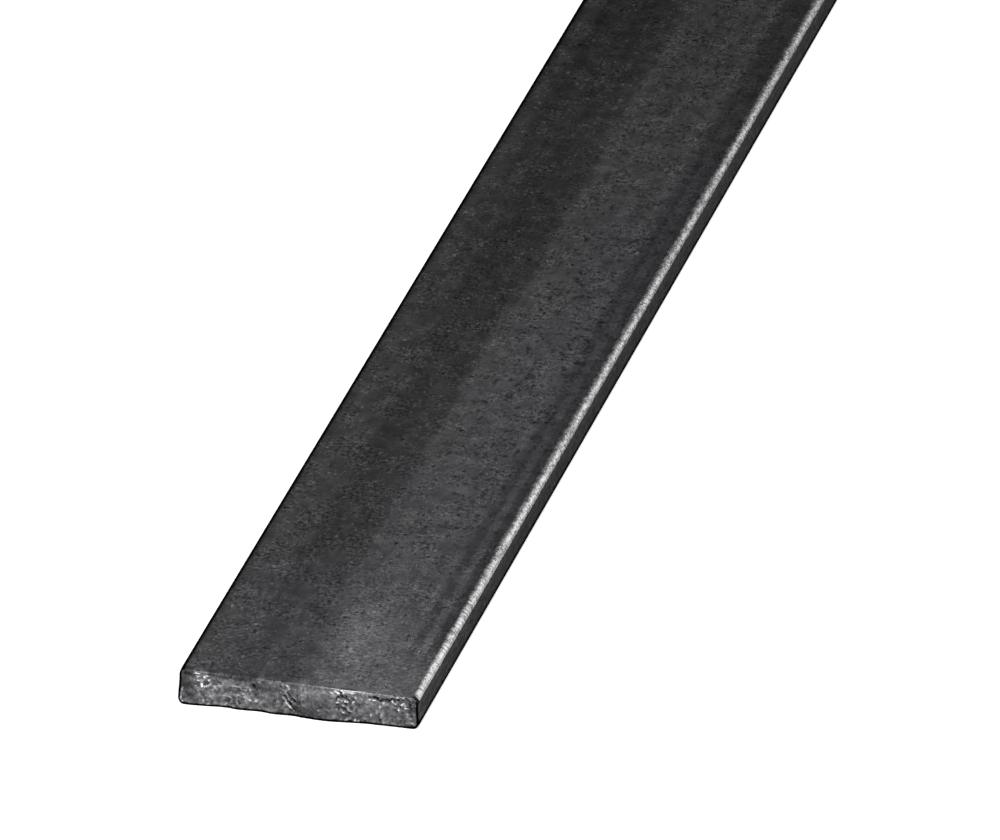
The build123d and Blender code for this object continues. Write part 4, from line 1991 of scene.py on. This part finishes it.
@dataclass(frozen=True)
class Studio:
    """Pale floor, even pale surroundings, two soft lamps and the camera. Lengths
    are in metres, angles in degrees and the lens in millimetres."""

    aim: Triple = (0.0, -0.45, 0.003)
    surroundings: float = 0.6
    floor_colour: float = 0.85
    floor_lift: float = 0.48
    floor_half: float = 60.0
    lens: float = 724.7375
    camera_place: Triple = (0.775837, -3.234609, 1.541360)
    camera_turn: Triple = (62.3709, 0.0, 15.1874)
    camera_clip: tuple[float, float] = (0.1, 200.0)

    def build(self) -> None:
        """Sets up the whole studio."""
        self.set_world()
        self.lay_floor()
        for lamp in Lamp:
            self.hang(lamp)
        self.set_camera()
        bpy.context.scene.view_settings.view_transform = "Standard"

    def set_world(self) -> None:
        """Even pale light from all round."""
        world = bpy.data.worlds.new("surroundings")
        bpy.context.scene.world = world
        world.use_nodes = True
        backdrop = world.node_tree.nodes["Background"]
        backdrop.inputs["Color"].default_value = opaque((1.0, 1.0, 1.0))
        backdrop.inputs["Strength"].default_value = self.surroundings

    def lay_floor(self) -> None:
        """Level floor: one square grid, matt and pale, lifted to white in view."""
        lines = np.linspace(-self.floor_half, self.floor_half, 9)
        x, y = np.meshgrid(lines, lines, indexing="ij")
        points = np.stack([x, y, np.zeros_like(x)], -1).reshape(-1, 3)
        faces = grid_quads(np.arange(x.size).reshape(x.shape))
        mesh = bpy.data.meshes.new("floor")
        mesh.from_pydata(points.tolist(), [], faces.tolist())
        mesh.update()
        mesh.materials.append(self.floor_finish())
        floor = bpy.data.objects.new("floor", mesh)
        bpy.context.scene.collection.objects.link(floor)

    def floor_finish(self) -> bpy.types.Material:
        """Matt pale paint, with a lift that only the camera and reflections see.

        Returns:
            The material.
        """
        g = Graph("floor_paint")
        path = g.lay("ShaderNodeLightPath", {})
        kinds = ("Is Camera Ray", "Is Glossy Ray", "Is Transmission Ray")
        camera, glossy, through = (Value(g, path.outputs[kind]) for kind in kinds)
        seen = camera.or_more(glossy).or_more(through)
        paint = g.node("ShaderNodeBsdfDiffuse", {"Color": opaque((self.floor_colour,) * 3)})
        lift = g.node("ShaderNodeEmission", {"Strength": seen * self.floor_lift})
        both = g.node("ShaderNodeAddShader", {0: paint, 1: lift})
        g.lay("ShaderNodeOutputMaterial", {"Surface": both})
        return g.material

    def hang(self, lamp: Lamp) -> None:
        """Hangs one soft lamp.

        Args:
            lamp: Which lamp.
        """
        box = lamp.value
        a, e = math.radians(box.azimuth), math.radians(box.elevation)
        way = Vector((math.sin(a) * math.cos(e), math.cos(a) * math.cos(e), math.sin(e)))
        light = bpy.data.lights.new(lamp.name.lower(), "AREA")
        light.shape = "RECTANGLE"
        light.size, light.size_y, light.energy = box.width, box.height, box.power
        hung = bpy.data.objects.new(lamp.name.lower(), light)
        hung.location = Vector(self.aim) + box.distance * way
        hung.rotation_euler = way.to_track_quat("Z", "Y").to_euler()
        hung.visible_camera = False
        bpy.context.scene.collection.objects.link(hung)

    def set_camera(self) -> None:
        """Puts the camera at its place and makes it the scene's own."""
        camera = bpy.data.cameras.new("camera")
        camera.lens = self.lens
        camera.clip_start, camera.clip_end = self.camera_clip
        seat = bpy.data.objects.new("camera", camera)
        seat.location = self.camera_place
        seat.rotation_euler = [math.radians(turn) for turn in self.camera_turn]
        bpy.context.scene.collection.objects.link(seat)
        bpy.context.scene.camera = seat


def main() -> None:
    """Builds the flat and the studio, and reports the piece."""
    logging.basicConfig(level=logging.INFO, format="%(name)s: %(message)s")
    piece = RolledFlat(RolledSection.of_node(NODE)).build()
    triangles = sum(len(face.vertices) - 2 for face in piece.data.polygons)
    LOG.info("%s: %d points, %d triangles", piece.name, len(piece.data.vertices), triangles)
    Studio().build()


if __name__ == "__main__":
    main()
